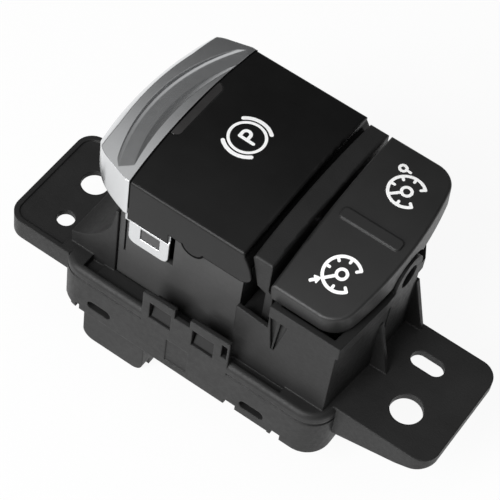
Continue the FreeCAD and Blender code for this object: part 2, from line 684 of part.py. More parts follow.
def mounting_frame():
    """The one moulding that carries everything: skirt, tabs, scoop, divider and tower."""
    m = Moulding("mounting_frame")
    m.add("XY", skirt_low, s.flange_height, frame_outline(Dim.of(0)))
    m.round(s.bead_radius, m.edges_between(s.flange_height, s.flange_height))
    # Shadow groove under the rounded rim
    groove = s.flange_height - s.groove_drop
    m.cut("XY", groove - s.groove_height, groove, frame_outline(Dim.of(-1)), frame_outline(s.groove_depth))
    # Screw tabs; the right tab's rim rises towards its end
    m.add("XY", s.flange_height - s.tab_depth, s.flange_height, left_tab(Dim.of(0), 2.0))
    m.add("XY", s.flange_height - s.right_tab_depth, s.flange_height, right_tab(Dim.of(0), 2.0))
    low = s.flange_height - s.right_tab_depth
    m.cut("XZ", s.right_tab_near - 1, s.right_tab_far + 1, [
        (s.frame_right + 0.5, low - 1), (right_tab_end + 1, low - 1),
        (right_tab_end + 1, s.flange_height - s.right_tab_edge_depth),
        (right_tab_end - s.right_tab_slope, s.flange_height - s.tab_depth), (s.frame_right + 0.5, low),
    ])
    # Hollow underside and sunk top of the left tab
    m.cut("XY", skirt_low, deck_low, frame_outline(s.skirt_wall))
    m.cut("XY", s.flange_height - s.tab_depth, tab_under, left_tab(s.tab_wall, -0.5))
    m.cut("XY", low, tab_under, right_tab(s.tab_wall, -0.5))
    m.cut("XY", s.flange_height - s.left_tab_recess, s.flange_height, left_tab(s.left_tab_border, -0.8))
    # Trough behind the near and far rims, deeper at its left end
    trough_left = s.frame_left + s.frame_corner
    trough_right = s.frame_right - s.frame_corner - 6
    trough_near = housing_half + s.housing_gap
    for side in (-1, 1):
        near, far = (-rim_inner, -trough_near) if side < 0 else (trough_near, rim_inner)
        m.cut("XY", trough_floor, s.flange_height, rect(trough_left, near, trough_right, far))
        m.cut("XY", trough_floor - s.trough_step, trough_floor,
              rect(trough_left, near, s.housing_left - 3, far))
    # Tower for the rocker with its flared collar
    m.add("XY", deck_low, tower_top, tower_outline(Dim.of(0)))
    m.add("XY", tower_top - s.collar_height, tower_top, collar_outline(s.collar_flare))
    m.cut("XY", deck_low - 0.01, tower_top, tower_outline(s.tower_wall))
    # Divider: a sill with thin end walls, a narrow leg and a wide head
    sill_left = s.housing_right + s.housing_gap + 0.4
    m.add("XY", trough_floor, sill_top, rect(sill_left, -tower_half, s.tower_left + 0.5, tower_half))
    for near in (-tower_half, tower_half - s.sill_wall):
        m.add("XZ", near, near + s.sill_wall, [
            (sill_left, sill_top - 1), (s.tower_left + 0.5, sill_top - 1),
            (s.tower_left + 0.5, sill_top + s.sill_wall_height - 0.5), (sill_left, sill_top + s.sill_wall_height + 0.5),
        ])
    head_low = s.pivot_height - 1.3
    m.add("XZ", -divider_half, divider_half, [
        (s.divider_leg_left, sill_top - 0.5), (s.divider_leg_right, sill_top - 0.5), (s.divider_leg_right, head_low),
        (s.divider_right, head_low + 1.2), (s.divider_right, button_edge + 3), (s.divider_left - 0.7, button_edge + 3),
        (s.divider_left + 2.3, head_low + 1), (s.divider_leg_left, head_low),
    ])
    crown(m, s.divider_left - 1, s.divider_right + 1, 0, divider_half, button_edge - 0.2, s.button_crown_radius)
    m.round(0.6, m.edges_between(button_edge - 0.3, button_edge + 2,
                                 lambda box: box.XMax < s.divider_right.value + 0.1))
    # Bosses for the rocker's axle: one behind the divider's head, one on a column
    m.add("YZ", s.divider_leg_left - 1.8, s.divider_right + 0.5,
          circle(s.rocker_axis_across, rocker_axis, s.rocker_axle_radius + 1.2))
    column = s.tower_belly - s.tower_wall
    m.add("YZ", column, s.boss_face, circle(s.rocker_axis_across, rocker_axis, s.boss_radius))
    m.add("YZ", column, s.boss_face - 0.4, [
        (s.rocker_axis_across - s.boss_radius, trough_floor), (s.rocker_axis_across + s.boss_radius, trough_floor),
        (s.rocker_axis_across + s.boss_radius - 0.5, rocker_axis),
        (s.rocker_axis_across - s.boss_radius + 0.5, rocker_axis),
    ])
    # Gussets down to the right tab, beside the column
    for side in (-1, 1):
        gusset = s.rocker_axis_across + side * s.gusset_spacing / 2
        m.add("XZ", gusset - s.gusset_thickness / 2, gusset + s.gusset_thickness / 2, [
            (column + 0.8, s.flange_height - 1), (s.tower_belly + s.gusset_reach + 0.6, s.flange_height - 1),
            (s.tower_belly + s.gusset_reach, s.flange_height + 1),
            (s.tower_belly + 0.3, s.flange_height + s.gusset_height), (column + 0.8, s.flange_height + s.gusset_height),
        ])
    # Tapered recess with a rib in the tower's near face
    recess_low = sill_top - 3.4
    recess_high = tower_top - s.collar_height
    m.cut("XZ", -tower_half - 0.1, s.tower_recess_depth - tower_half, [
        (s.tower_left + 1.6, recess_low), (s.tower_left + 2.4, recess_low), (s.tower_left + 4.6, recess_high),
        (s.tower_left + 0.2, recess_high),
    ])
    m.add("XZ", 0.1 - tower_half, s.tower_recess_depth + 0.1 - tower_half, [
        (s.tower_left + 1.8, recess_low), (s.tower_left + 2.1, recess_low),
        (s.tower_left + 2.4 + s.tower_rib / 2, recess_high), (s.tower_left + 2.4 - s.tower_rib / 2, recess_high),
    ])
    # Finger scoop, hollow on the side of the fingers
    scoop_half = frame_half - s.scoop_inset
    scoop_right = s.housing_left - s.housing_gap
    m.add("XZ", -scoop_half, scoop_half, [
        (s.frame_left + 0.2, trough_floor - s.trough_step), (scoop_right, trough_floor - s.trough_step),
        (scoop_right, scoop_top), (scoop_right - 0.7, scoop_top, -s.scoop_radius),
        (s.frame_left, s.flange_height + s.scoop_rise),
    ])
    # Opening for the brake housing, and the axle's bores
    opening = housing_half + s.housing_gap
    m.cut("XY", deck_low - 0.01, scoop_top, rect(
        scoop_right, -opening, s.housing_right + s.housing_gap, opening))
    m.cut("YZ", s.divider_leg_left - 1.2, s.boss_face + 1,
          circle(s.rocker_axis_across, rocker_axis, s.rocker_axle_radius))
    m.cut("YZ", s.boss_face - s.boss_mouth_depth, s.boss_face + 1,
          circle(s.rocker_axis_across, rocker_axis, s.boss_mouth_radius))
    clip_wall(m)
    # Slots and marks of the skirt
    for middle in (s.left_vent_along, s.right_vent_along):
        m.cut("XZ", -frame_half - 1, 0.2 - rim_inner,
              obround(middle, skirt_low + s.vent_rise, s.vent_length, s.vent_height / 2))
    m.cut("XZ", -frame_half - 1, s.label_recess - frame_half, rect(
        -9.0, skirt_low + 2.1, -3.0, skirt_low + 10.6))
    for left, right, height in skirt_marks():
        m.cut("XZ", -frame_half - 1, 0.2 - rim_inner, rect(left, skirt_low - 1, right, skirt_low + height))
    # Screw hole, slot and locating holes
    tab_low = s.flange_height - s.tab_depth
    for x, y, radius in round_holes():
        m.cut("XY", tab_low, s.flange_height, circle(x, y, radius))
    m.cut("XY", tab_low, s.flange_height, obround(
        s.slot_along, s.slot_across, s.slot_length, s.screw_hole_radius))
    # Bores for the screws of the brake housing
    m.cut("XY", deck_low - 1, deck_low + s.screw_grip - s.housing_flange, *[
        circle(x, y, s.screw_radius) for x, y in housing_screw_places()])
    return m


def clip_wall(m):
    """Wall above the near rim with two latch windows, a notch and a narrow slot."""
    top = s.flange_height + s.clip_wall_height
    wall_far = s.clip_wall_thickness - frame_half
    m.add("XZ", -frame_half, -rim_inner, rect(
        s.clip_wall_left, s.flange_height - s.groove_drop - s.groove_height, s.clip_wall_right, s.flange_height))
    m.add("XZ", -frame_half, wall_far, [
        (s.clip_wall_left, s.flange_height - 1), (s.clip_wall_right, s.flange_height - 1),
        (s.clip_wall_right, top + 0.5), (s.clip_wall_left, top - 0.4),
    ])
    for middle in (s.left_clip_along, s.right_clip_along):
        half = s.clip_width / 2
        m.cut("XZ", -frame_half - 1, 0.2 - rim_inner, rect(
            middle - half, clip_sill, middle + half, clip_sill + s.clip_height))
        m.cut("XY", deck_low - 0.01, s.flange_height, rect(
            middle - half - 0.6, -rim_inner, middle + half + 0.6, 2.4 - rim_inner))
    notch = (s.left_clip_along + s.right_clip_along) / 2
    half = s.clip_notch_width / 2
    m.cut("XZ", -frame_half - 1, wall_far + 0.2, rect(
        notch - half, top - s.clip_notch_depth, notch + half, top + 1))
    m.cut("XZ", -frame_half - 1, wall_far + 0.2, rect(
        s.clip_slot_along - s.clip_slot_width / 2, clip_sill + 2.8,
        s.clip_slot_along + s.clip_slot_width / 2, clip_sill + 2.8 + s.clip_slot_height))


def brake_switch_housing():
    """Dark box under the brake button, clamped under the deck by its flange."""
    m = Moulding("brake_switch_housing")
    low = deck_low - s.housing_flange
    margin = s.housing_lip
    m.add("XY", low, housing_top, rect(s.housing_left, -housing_half, s.housing_right, housing_half))
    m.add("XY", low, deck_low, rect(
        s.housing_left - margin, -housing_half - margin, s.housing_right + margin, housing_half + margin))
    # Ears with holes for the screws
    for x, y in housing_screw_places():
        m.add("XY", low, deck_low, rect(x - 3.2, y - 3.2, x + 3.2, y + 3.2, 1.5))
    # Hollow above and below the floor
    left = s.housing_left + s.housing_wall
    right = s.housing_right - s.housing_wall
    m.cut("XY", housing_floor, housing_top, rect(left, -housing_inner, right, housing_inner))
    m.cut("XY", low, housing_floor - s.housing_wall, rect(left, -housing_inner, right, housing_inner))
    m.cut("XY", low, deck_low, *[circle(x, y, s.screw_radius + 0.2) for x, y in housing_screw_places()])
    # The left wall stops under the lip
    m.cut("XY", s.pivot_height - s.housing_left_drop, housing_top, rect(
        s.housing_left - 1, -housing_half - 1, s.button_left + 0.6, housing_half + 1))
    # Webs that hold the axle
    for side in (-1, 1):
        near = hub_inner - 0.4 - s.web_thickness if side > 0 else 0.4 - hub_inner
        m.add("XZ", near, near + s.web_thickness, [
            (s.pivot_along - 4, housing_floor - 0.2), (s.pivot_along + 4, housing_floor - 0.2),
            (s.pivot_along + 2.6, s.pivot_height, 2.6), (s.pivot_along - 2.6, s.pivot_height),
        ])
    m.cut("XZ", -housing_inner, housing_inner, circle(s.pivot_along, s.pivot_height, s.axle_radius))
    # Round recess for the ear, window for the snap loop and slot beside it, on both sides
    for near in (-housing_half - 1, housing_inner - 1):
        far = near + s.housing_wall + 2
        m.cut("XZ", near, far, circle(s.pivot_along, s.pivot_height, s.ear_radius + s.ear_gap))
        m.cut("XZ", near, far, rect(s.loop_left + 1.7, loop_low - 0.8, loop_right + 0.9, skirt_left_low + 2))
        m.cut("XZ", near, far, rect(s.loop_left - 1.5, loop_low - 6.4, s.loop_left - 1, housing_top + 1))
    # Guides for the two plungers
    half = s.plunger_side / 2 + s.plunger_play
    outer = half + s.guide_wall
    for along in (push_along, pull_along):
        m.add("XY", housing_floor - 0.2, housing_floor + s.guide_height, rect(
            along - outer, -outer, along + outer, outer))
        m.cut("XY", housing_floor - s.housing_wall - 1, housing_floor + s.guide_height, rect(
            along - half, -half, along + half, half))
    # Hole for the light guide
    reach = s.guide_plate / 2 + 0.2
    width = s.guide_width / 2 + 0.2
    m.cut("XY", housing_floor - s.housing_wall - 1, housing_floor + 1, rect(
        brake_guide_along - reach, -width, brake_guide_along + reach, width))
    return m


def crown(m, left, right, middle, half, edge_height, radius):
    """Cut the top of a piece to an arc across the part."""
    middle = Dim.of(middle)
    top = edge_height + 8
    m.cut("YZ", left, right, [
        (middle - half, edge_height, -radius), (middle + half, edge_height),
        (middle + half, top), (middle - half, top),
    ])


def lens_plan(gap):
    """Plan of the indicator lens, open towards the lip."""
    near = s.lens_across - s.lens_length / 2 - gap
    far = s.lens_across + s.lens_length / 2 + gap
    left = s.button_left - s.button_bow + 0.25 - 6 * gap
    right = s.button_left - s.button_bow + s.lens_width + gap
    r = s.lens_corner
    return [(left, near), (right - r, near, r), (right, near + r), (right, far - r, r), (right - r, far), (left, far)]


def brake_button_cap():
    """Gloss cap with thin skirts over the housing's walls and a round ear at the axis."""
    m = Moulding("brake_button_cap")
    left = s.button_left
    plate_low = button_edge - s.button_plate
    inner_right = s.button_right - 1.2
    belly = s.button_right + s.button_belly
    step = s.pivot_height - s.button_skirt_notch
    m.add("XY", skirt_left_low, button_edge + 3, [
        (left, -button_half), (belly + 0.5, -button_half), (belly + 0.5, button_half),
        (left, button_half, button_edge_bow)])
    # Right end: curved about the axis, with a round heel
    m.cut("XZ", -button_half - 1, button_half + 1, [
        (s.button_right, button_edge + 4), (s.button_right, button_edge - 1.2, -s.button_end_radius),
        (belly, step + s.button_heel, -s.button_heel), (belly - s.button_heel, step),
        (s.button_skirt_step, step), (s.button_skirt_step, skirt_left_low - 1),
        (belly + 2, skirt_left_low - 1), (belly + 2, button_edge + 4),
    ])
    m.cut("XY", skirt_left_low, plate_low, rect(left - 2, -button_inner, inner_right, button_inner))
    m.cut("XY", skirt_left_low - 1, plate_low - 2.4, rect(
        inner_right - 0.1, -button_inner, belly + 1, button_inner))
    # Ears that close the housing's round recesses, with a ring groove
    ear = s.button_skirt + 1.1
    for near in (-button_half, button_half - ear):
        m.add("XZ", near, near + ear, circle(s.pivot_along, s.pivot_height, s.ear_radius))
    # Room for the strap of the snap loop behind each skirt
    room = s.strap_thickness + 0.05
    for near in (-button_inner - room + 0.05, button_inner - 0.05):
        m.cut("XZ", near, near + room, rect(
            left - 2, skirt_left_low - 1, loop_right + 0.5, skirt_left_low + 8))
    crown(m, left - 3, belly + 1, 0, button_half, button_edge, s.button_crown_radius)
    m.round(s.button_round, m.edges_between(
        button_edge - 0.1, button_edge + 2, lambda box: box.XMax > left.value + 0.1))
    # Recess and window for the lens
    lens_low = button_edge + button_sagitta - s.lens_depth
    m.cut("XY", lens_low, button_edge + 3, lens_plan(Dim.of(0.06)))
    return m


def indicator_lens():
    """Smoked lens let into the cap beside the lip."""
    m = Moulding("indicator_lens")
    m.add("XY", button_edge + button_sagitta - s.lens_depth, button_edge + 3, lens_plan(Dim.of(0)))
    crown(m, s.button_left - 3, s.button_right, 0, button_half, button_edge, s.button_crown_radius)
    return m


def chrome_lip():
    """Plated finger lip with a snap loop at each end."""
    m = Moulding("chrome_lip")
    inner = s.button_left - s.button_fit
    bottom = s.pivot_height - s.lip_bottom_drop
    top = button_edge + 3
    belly = bottom + s.lip_belly
    crease = belly + 4.4
    # Section turned about an upright axis
    c = s.lip_centre
    m.turn("Revolution", c, 40, [
        (s.lip_knee - c, bottom), (inner + 2 - c, bottom), (inner + 2 - c, top), (s.lip_crease - c, top),
        (s.lip_crease - c, crease, s.lip_nose), (s.lip_outer - c, belly, s.lip_belly),
    ], level=s.lip_across)
    # Plan of the ends and the edge that is hollow towards the cap
    m.cut("XY", bottom - 1, top + 1,
          rect(s.lip_outer - 6, -button_half - 9, inner + 9, button_half + 9),
          [(inner, -button_half, -button_edge_bow), (inner, button_half), (inner - 1, button_half),
           (s.lip_outer + 7.8, button_half - 1.6, s.lip_corner), (s.lip_outer + 1.8, button_half - 7.8),
           (s.lip_outer - 3, button_half - 16), (s.lip_outer - 3, 16 - button_half),
           (s.lip_outer + 0.9, 8.4 - button_half, s.lip_corner), (s.lip_outer + 6.4, 2.05 - button_half),
           (inner - 1, -button_half)])
    crown(m, s.lip_outer - 4, inner + 3, 0, button_half + 1, button_edge - 0.12, s.button_crown_radius)
    # Crescent scoop in the top
    c = s.lip_scoop_centre
    low = s.pivot_height + s.lip_scoop_rise
    m.turn("Groove", c, 70, [
        (s.lip_scoop_outer - c, low + 2), (s.lip_scoop_outer + 0.25 - c, low + 0.1),
        (s.lip_scoop_outer + 0.9 - c, low - 0.05), (s.lip_scoop_inner - 2 - c, low + 0.2),
        (s.lip_scoop_inner - c, low + 1.2), (s.lip_scoop_inner - c, low + 2),
    ], level=s.lip_across)
    # Snap loops below the skirts, on straps behind them
    loop_top = skirt_left_low - 0.15
    r = s.loop_round
    for side in (-1, 1):
        strap = side * button_inner
        near = strap - s.strap_thickness if side < 0 else strap
        m.add("XZ", near, near + s.strap_thickness, rect(inner - 0.6, loop_top - 1, loop_right, loop_top + 7))
        near = 0.1 - button_half if side < 0 else button_half - 0.1 - s.loop_thickness
        m.add("XZ", near, near + s.loop_thickness, [
            (s.loop_left + r, loop_low), (loop_right - r, loop_low, r), (loop_right, loop_low + r),
            (loop_right, loop_top), (s.loop_left, loop_top), (s.loop_left, loop_low + r, r),
        ], rect(s.loop_left + s.loop_left_leg, loop_low + s.loop_bar, loop_right - s.loop_right_leg, loop_top - 0.8))
    return m


def brake_button_carrier():
    """Inner frame of the button: plate, hubs on the axle, catches and arms."""
    m = Moulding("brake_button_carrier")
    left = s.button_left + 0.8
    right = s.button_right - 1.5
    m.add("XY", carrier_low, carrier_top, rect(left, -carrier_half, right, carrier_half))
    # Window in the plate and notch for the light guide
    m.cut("XY", carrier_low, carrier_top, rect(push_along + 2.2, -7, pull_along - 2.2, 7))
    m.cut("XY", carrier_low, carrier_top, rect(left - 1, -5, brake_guide_along + 2, 5))
    for side in (-1, 1):
        # Hubs round the axle
        near = hub_inner if side > 0 else -hub_inner - s.hub_length
        m.add("XZ", near, near + s.hub_length, [
            (s.pivot_along - s.hub_radius, s.pivot_height, s.hub_radius),
            (s.pivot_along + s.hub_radius, s.pivot_height),
            (s.pivot_along + s.hub_radius, carrier_low + 0.5), (s.pivot_along - s.hub_radius, carrier_low + 0.5),
        ])
        # Side cheek down to the catch that holds the snap loop
        catch_left = s.loop_left + s.loop_left_leg + 0.15
        catch_right = loop_right - s.loop_right_leg - 0.15
        catch_low = loop_low + s.loop_bar + 0.15
        near = -carrier_half if side < 0 else carrier_half - 1.4
        m.add("XZ", near, near + 1.4, rect(catch_left, catch_low, catch_right, carrier_low + 0.5))
        reach = button_half - 0.3
        near = -reach if side < 0 else carrier_half - 0.2
        m.add("XZ", near, near + reach - carrier_half + 0.2, rect(
            catch_left, catch_low, catch_right, skirt_left_low - 1.2))
    m.cut("XZ", -carrier_half, carrier_half, circle(s.pivot_along, s.pivot_height, s.axle_radius + s.axle_play))
    # Arms that press the plungers
    for along in (push_along, pull_along):
        m.add("XY", arm_low, carrier_low + 0.5, rect(along - 1.4, -1.8, along + 1.4, 1.8))
    return m


def round_bar(name, plane, low, high, x, y, radius):
    """A plain round bar."""
    m = Moulding(name)
    m.add(plane, low, high, circle(x, y, radius))
    return m


def brake_button_axle():
    """Steel axle of the brake button, held in the housing's webs."""
    reach = hub_inner + s.hub_length + 1
    return round_bar("brake_button_axle", "XZ", -reach, reach, s.pivot_along, s.pivot_height, s.axle_radius)


def plunger(name, along):
    """Square plunger with a collar for its spring and a narrow head under the arm."""
    m = Moulding(name)
    half = s.plunger_side / 2
    head = arm_low - s.arm_gap
    collar_low = s.pivot_height - s.plunger_collar_drop
    m.add("XY", mat_high + s.dome_height + s.plunger_lift, head - 1, rect(along - half, -half, along + half, half))
    m.add("XY", collar_low, collar_low + s.plunger_collar_height, circle(along, 0, s.plunger_collar))
    m.add("XY", head - 1.2, head, rect(along - 1, -half, along + 1, half))
    return m


def coil(name, along, across, low, high, radius, wire):
    """A compression spring between two heights, as a chain of tilted half circles."""
    low_end = low.value + wire.value
    step = (high.value - wire.value - low_end) / (2 * TURNS)
    rise = math.hypot(radius.value, step / 2)
    edges = []
    for half_turn in range(2 * TURNS):
        side = 1 if half_turn % 2 == 0 else -1
        start = Vector(side * radius.value, 0, half_turn * step)
        end = Vector(-side * radius.value, 0, (half_turn + 1) * step)
        middle = (start + end) * 0.5 + Vector(0, side * rise, 0)
        edges.append(Part.Arc(start, middle, end).toShape())
    profile = Part.Wire(Part.makeCircle(wire.value, Vector(radius.value, 0, 0), Vector(0, 1, 0)))
    piece = DOCUMENT.addObject("Part::Feature", name)
    piece.Label = name
    piece.Shape = Part.Wire(edges).makePipeShell([profile], True, True)
    piece.Placement = Placement(Vector(Dim.of(along).value, Dim.of(across).value, low_end), Rotation())
    return piece


def plunger_spring(name, along):
    """Return spring between the guide and the plunger's collar."""
    high = s.pivot_height - s.plunger_collar_drop
    return coil(name, along, 0, housing_floor + s.guide_height, high, s.spring_radius, s.spring_wire)


def rocker_plan(inset):
    """Plan of the rocker, round on the right, from its own middle."""
    middle = s.rocker_axis_across
    left = s.rocker_left + inset
    right = s.rocker_corner_along - inset
    half = s.rocker_half - inset
    corner = s.rocker_corner - inset
    turn = s.rocker_corner_across
    start = s.rocker_corner_along - s.rocker_corner + 0.2
    return [
        (left, middle - half), (start, middle - half, corner), (right, middle - turn, s.rocker_bow_radius),
        (right, middle + turn, corner), (start, middle + half), (left, middle + half),
    ]


def cruise_rocker_cap():
    """Satin cap of the rocker, modelled level."""
    m = Moulding("cruise_rocker_cap")
    middle = s.rocker_axis_across
    top = rocker_axis + s.rocker_top_rise
    low = rocker_axis + s.rocker_skirt_rise
    sagitta = s.rocker_crown_radius - root(
        s.rocker_crown_radius * s.rocker_crown_radius - s.rocker_half * s.rocker_half)
    edge = top - sagitta
    m.add("XY", low, top + 1, rocker_plan(Dim.of(0)))
    crown(m, s.rocker_left - 1, rocker_right + 2, middle, s.rocker_half, edge, s.rocker_crown_radius)
    m.round(s.rocker_round, m.edges_between(edge - 0.1, top))
    m.cut("XY", low, rocker_inner_top, rocker_plan(s.rocker_wall))
    # Arch over the boss
    m.cut("YZ", rocker_right - 5, rocker_right + 2, circle(middle, rocker_axis, s.rocker_arch_radius))
    # Raised bar
    bar = s.bar_length / 2
    across = middle + s.bar_across
    m.add("XY", top - 1, top + s.bar_height, rect(
        s.bar_along - bar, across - s.bar_width / 2, s.bar_along + bar, across + s.bar_width / 2, 1.0))
    return m


def rocker_carrier():
    """Inner frame of the rocker: plate, lugs on the axle and the stem of the detent."""
    m = Moulding("rocker_carrier")
    middle = s.rocker_axis_across
    low = rocker_inner_top - s.rocker_plate
    left = s.rocker_left + s.rocker_wall + 0.05
    right = s.rocker_corner_along - s.rocker_wall - 0.6
    reach = s.rocker_corner_across
    m.add("XY", low, rocker_inner_top, rect(left, middle - reach, right, middle + reach))
    inner_left = s.tower_left + s.tower_wall + s.lug_gap
    inner_right = s.tower_right - s.tower_wall - s.lug_gap
    for near in (inner_left, inner_right - s.lug_length):
        m.add("YZ", near, near + s.lug_length, [
            (middle - s.lug_radius, rocker_axis, s.lug_radius), (middle + s.lug_radius, rocker_axis),
            (middle + s.lug_radius, low + 0.5), (middle - s.lug_radius, low + 0.5),
        ])
    half = s.stem_side / 2
    m.add("XY", rocker_axis - s.stem_drop, low + 0.5, rect(
        s.stem_along - half, middle - half, s.stem_along + half, middle + half))
    m.cut("YZ", left, right + 2, circle(middle, rocker_axis, s.rocker_axle_radius + s.axle_play))
    m.cut("XY", rocker_axis - s.stem_drop - 1, rocker_axis - s.detent_ceiling,
          circle(s.stem_along, middle, s.detent_radius + 0.1))
    return m


def rocker_axle():
    """Steel axle of the rocker, between divider and boss."""
    return round_bar("rocker_axle", "YZ", s.divider_leg_left - 1.2, s.boss_face - s.boss_mouth_depth + 0.2,
                     s.rocker_axis_across, rocker_axis, s.rocker_axle_radius)


def detent_plunger():
    """Round nosed plunger that clicks into the track."""
    m = Moulding("detent_plunger")
    tip = rocker_axis - s.detent_reach
    m.add("XY", tip, tip + s.detent_length, circle(s.stem_along, s.rocker_axis_across, s.detent_radius))
    m.round(s.detent_radius * 0.7, m.edges_between(tip, tip))
    return m


def detent_spring():
    """Spring above the detent plunger."""
    low = rocker_axis - s.detent_reach + s.detent_length
    high = rocker_axis - s.detent_ceiling
    return coil("detent_spring", s.stem_along, s.rocker_axis_across, low, high,
                s.detent_radius * 0.7, s.spring_wire * 0.7)


def detent_track():
    """Track of three notches on a pillar under the rocker."""
    m = Moulding("detent_track")
    middle = s.rocker_axis_across
    reach = s.detent_reach + s.detent_gap
    half = s.track_half
    edge = rocker_axis - root(reach * reach - half * half)
    left = s.stem_along - s.track_width / 2
    m.add("YZ", left, left + s.track_width, [
        (middle - half, board_high), (middle + half, board_high), (middle + half, edge, -reach),
        (middle - half, edge),
    ])
    deep = reach + s.detent_notch - s.notch_radius
    for step in (-1, 0, 1):
        across = step * s.notch_pitch
        height = rocker_axis - root(deep * deep - across * across)
        m.cut("YZ", left, left + s.track_width, circle(middle + across, height, s.notch_radius))
    return m


def pin_places():
    """Where the connector's pins stand."""
    first = s.tub_left + s.socket_width / 2 - s.pin_pitch * (COLUMNS - 1) / 2
    near = socket_near + s.socket_wall + s.socket_depth / 2 - s.pin_pitch / 2
    return [(first + s.pin_pitch * column, near + s.pin_pitch * row) for row in range(2) for column in range(COLUMNS)]


def pin_holes(m, low, high):
    """Holes that the connector's pins pass through."""
    radius = s.pin_side / 2 * 1.5
    m.cut("XY", low, high, *[circle(x, y, radius) for x, y in pin_places()])


def lower_housing():
    """Closed lower housing with shoulder, connector shroud, posts and latch tongues."""
    m = Moulding("lower_housing")
    shoulder = s.skirt_wall + s.tub_fit
    floor = shoulder_low + s.tub_wall
    m.add("XY", 0, skirt_low, rect(s.tub_left, -tub_near, s.tub_right, tub_far, s.tub_corner))
    m.add("XY", shoulder_low, board_low, frame_outline(shoulder))
    # Connector shroud
    m.add("XZ", socket_near, socket_near + 10, [
        (s.tub_left + s.socket_corner, 0), (socket_right - s.socket_corner, 0, s.socket_corner),
        (socket_right, s.socket_corner), (socket_right, shoulder_low + 0.5),
        (s.tub_left, shoulder_low + 0.5), (s.tub_left, s.socket_corner, s.socket_corner),
    ])
    # Hollow inside
    m.cut("XY", s.tub_wall, board_low, rect(
        s.tub_left + s.tub_wall, s.tub_wall - tub_near, s.tub_right - s.tub_wall, tub_far - s.tub_wall, 1.2))
    m.cut("XY", floor, board_low, frame_outline(shoulder + s.tub_wall))
    # Block and mouth of the connector
    m.add("XY", 0, floor, rect(s.tub_left, socket_near + 3, socket_right, socket_far))
    m.cut("XY", 0, s.socket_cavity, rect(
        s.tub_left + s.socket_wall, socket_near + s.socket_wall, socket_right - s.socket_wall,
        socket_far - s.socket_wall, 1.0))
    pin_holes(m, s.socket_cavity - 1, board_low)
    # Posts for the board's screws
    for x, y in board_screw_places():
        m.add("XY", s.tub_wall - 0.2, board_low, circle(x, y, s.screw_post))
    m.cut("XY", board_high - s.screw_grip, board_low, *[
        circle(x, y, s.screw_radius) for x, y in board_screw_places()])
    # Latch tongues with hooks in the windows
    tongue = s.tub_fit - rim_inner
    hook_top = clip_sill + s.clip_height - 0.5
    for middle in (s.left_clip_along, s.right_clip_along):
        half = s.clip_width / 2 - 0.3
        m.add("XY", board_low - 1, hook_top, rect(middle - half, tongue, middle + half, tongue + s.hook_thickness))
        m.add("YZ", middle - half, middle + half, [
            (tongue + 0.05, clip_sill + 0.3), (tongue + 0.05, hook_top),
            (tongue - s.tub_fit - s.hook_reach, clip_sill + 0.3),
        ])
    return m


def circuit_board():
    """Circuit board on the rim of the lower housing."""
    m = Moulding("circuit_board")
    m.add("XY", board_low, board_high, frame_outline(s.skirt_wall + s.board_inset))
    pin_holes(m, board_low, board_high)
    m.cut("XY", board_low, board_high, *[circle(x, y, s.screw_radius + 0.2) for x, y in board_screw_places()])
    return m


def contact_mat():
    """Rubber mat with a dome under each plunger."""
    m = Moulding("contact_mat")
    m.add("XY", board_high, mat_high, rect(
        push_along - s.mat_margin, -s.mat_near, pull_along + s.mat_margin, s.mat_margin, 1.0))
    for along in (push_along, pull_along):
        m.add("XY", mat_high - 0.2, mat_high + s.dome_height, circle(along, 0, s.dome_radius))
    return m


def connector_pins():
    """Two rows of pins from the board down into the connector's mouth."""
    m = Moulding("connector_pins", several=True)
    half = s.pin_side / 2
    for x, y in pin_places():
        m.add("XY", s.pin_reach, board_high + s.pin_solder, rect(x - half, y - half, x + half, y + half))
    return m


def light_guide(name, x, y, along_x, top):
    """Clear blade over a lamp, on two feet on the board."""
    m = Moulding(name)
    plate = s.guide_plate / 2
    width = s.guide_width / 2
    low = board_high + s.lamp_height + 0.4
    half_x, half_y = (width, plate) if along_x else (plate, width)
    m.add("XY", low, top, rect(x - half_x, y - half_y, x + half_x, y + half_y))
    for side in (-1, 1):
        if along_x:
            left = x - width if side < 0 else x + width - s.guide_foot
            foot = rect(left, y - plate, left + s.guide_foot, y + plate)
        else:
            near = y - width if side < 0 else y + width - s.guide_foot
            foot = rect(x - plate, near, x + plate, near + s.guide_foot)
        m.add("XY", board_high, low + 0.1, foot)
    return m


def indicator_lamps():
    """Small lamps on the board under the light guides."""
    m = Moulding("indicator_lamps", several=True)
    half = s.lamp_side / 2
    for x, y in ((brake_guide_along, Dim.of(0)), (s.stem_along, rocker_guide_across)):
        m.add("XY", board_high, board_high + s.lamp_height, rect(x - half, y - half, x + half, y + half))
    return m


def screws(name, places, seat, upwards):
    """Self tapping screws with flat heads against a seat."""
    m = Moulding(name, several=True)
    for x, y in places:
        head = (seat - s.screw_head_height, seat) if upwards else (seat, seat + s.screw_head_height)
        shank = (seat - 0.1, seat + s.screw_grip) if upwards else (seat - s.screw_grip, seat + 0.1)
        m.add("XY", *head, circle(x, y, s.screw_head_radius))
        m.add("XY", *shank, circle(x, y, s.screw_radius))
    return m


PIECES = [
    mounting_frame(), brake_switch_housing(), brake_button_cap(), indicator_lens(), chrome_lip(),
    brake_button_carrier(), brake_button_axle(),
    plunger("push_plunger", push_along), plunger("pull_plunger", pull_along),
    plunger_spring("push_plunger_spring", push_along), plunger_spring("pull_plunger_spring", pull_along),
    rocker_axle(), lower_housing(), circuit_board(), contact_mat(), connector_pins(), detent_track(),
    light_guide("brake_light_guide", brake_guide_along, Dim.of(0), False, s.pivot_height + 2.2),
    light_guide("rocker_light_guide", s.stem_along, rocker_guide_across, True, rocker_axis - 0.6),
    indicator_lamps(),
    screws("housing_screws", housing_screw_places(), deck_low - s.housing_flange, True),
    screws("board_screws", board_screw_places(), board_high, False),
]
ROCKER = [cruise_rocker_cap(), rocker_carrier(), detent_plunger(), detent_spring()]

DOCUMENT.recompute()

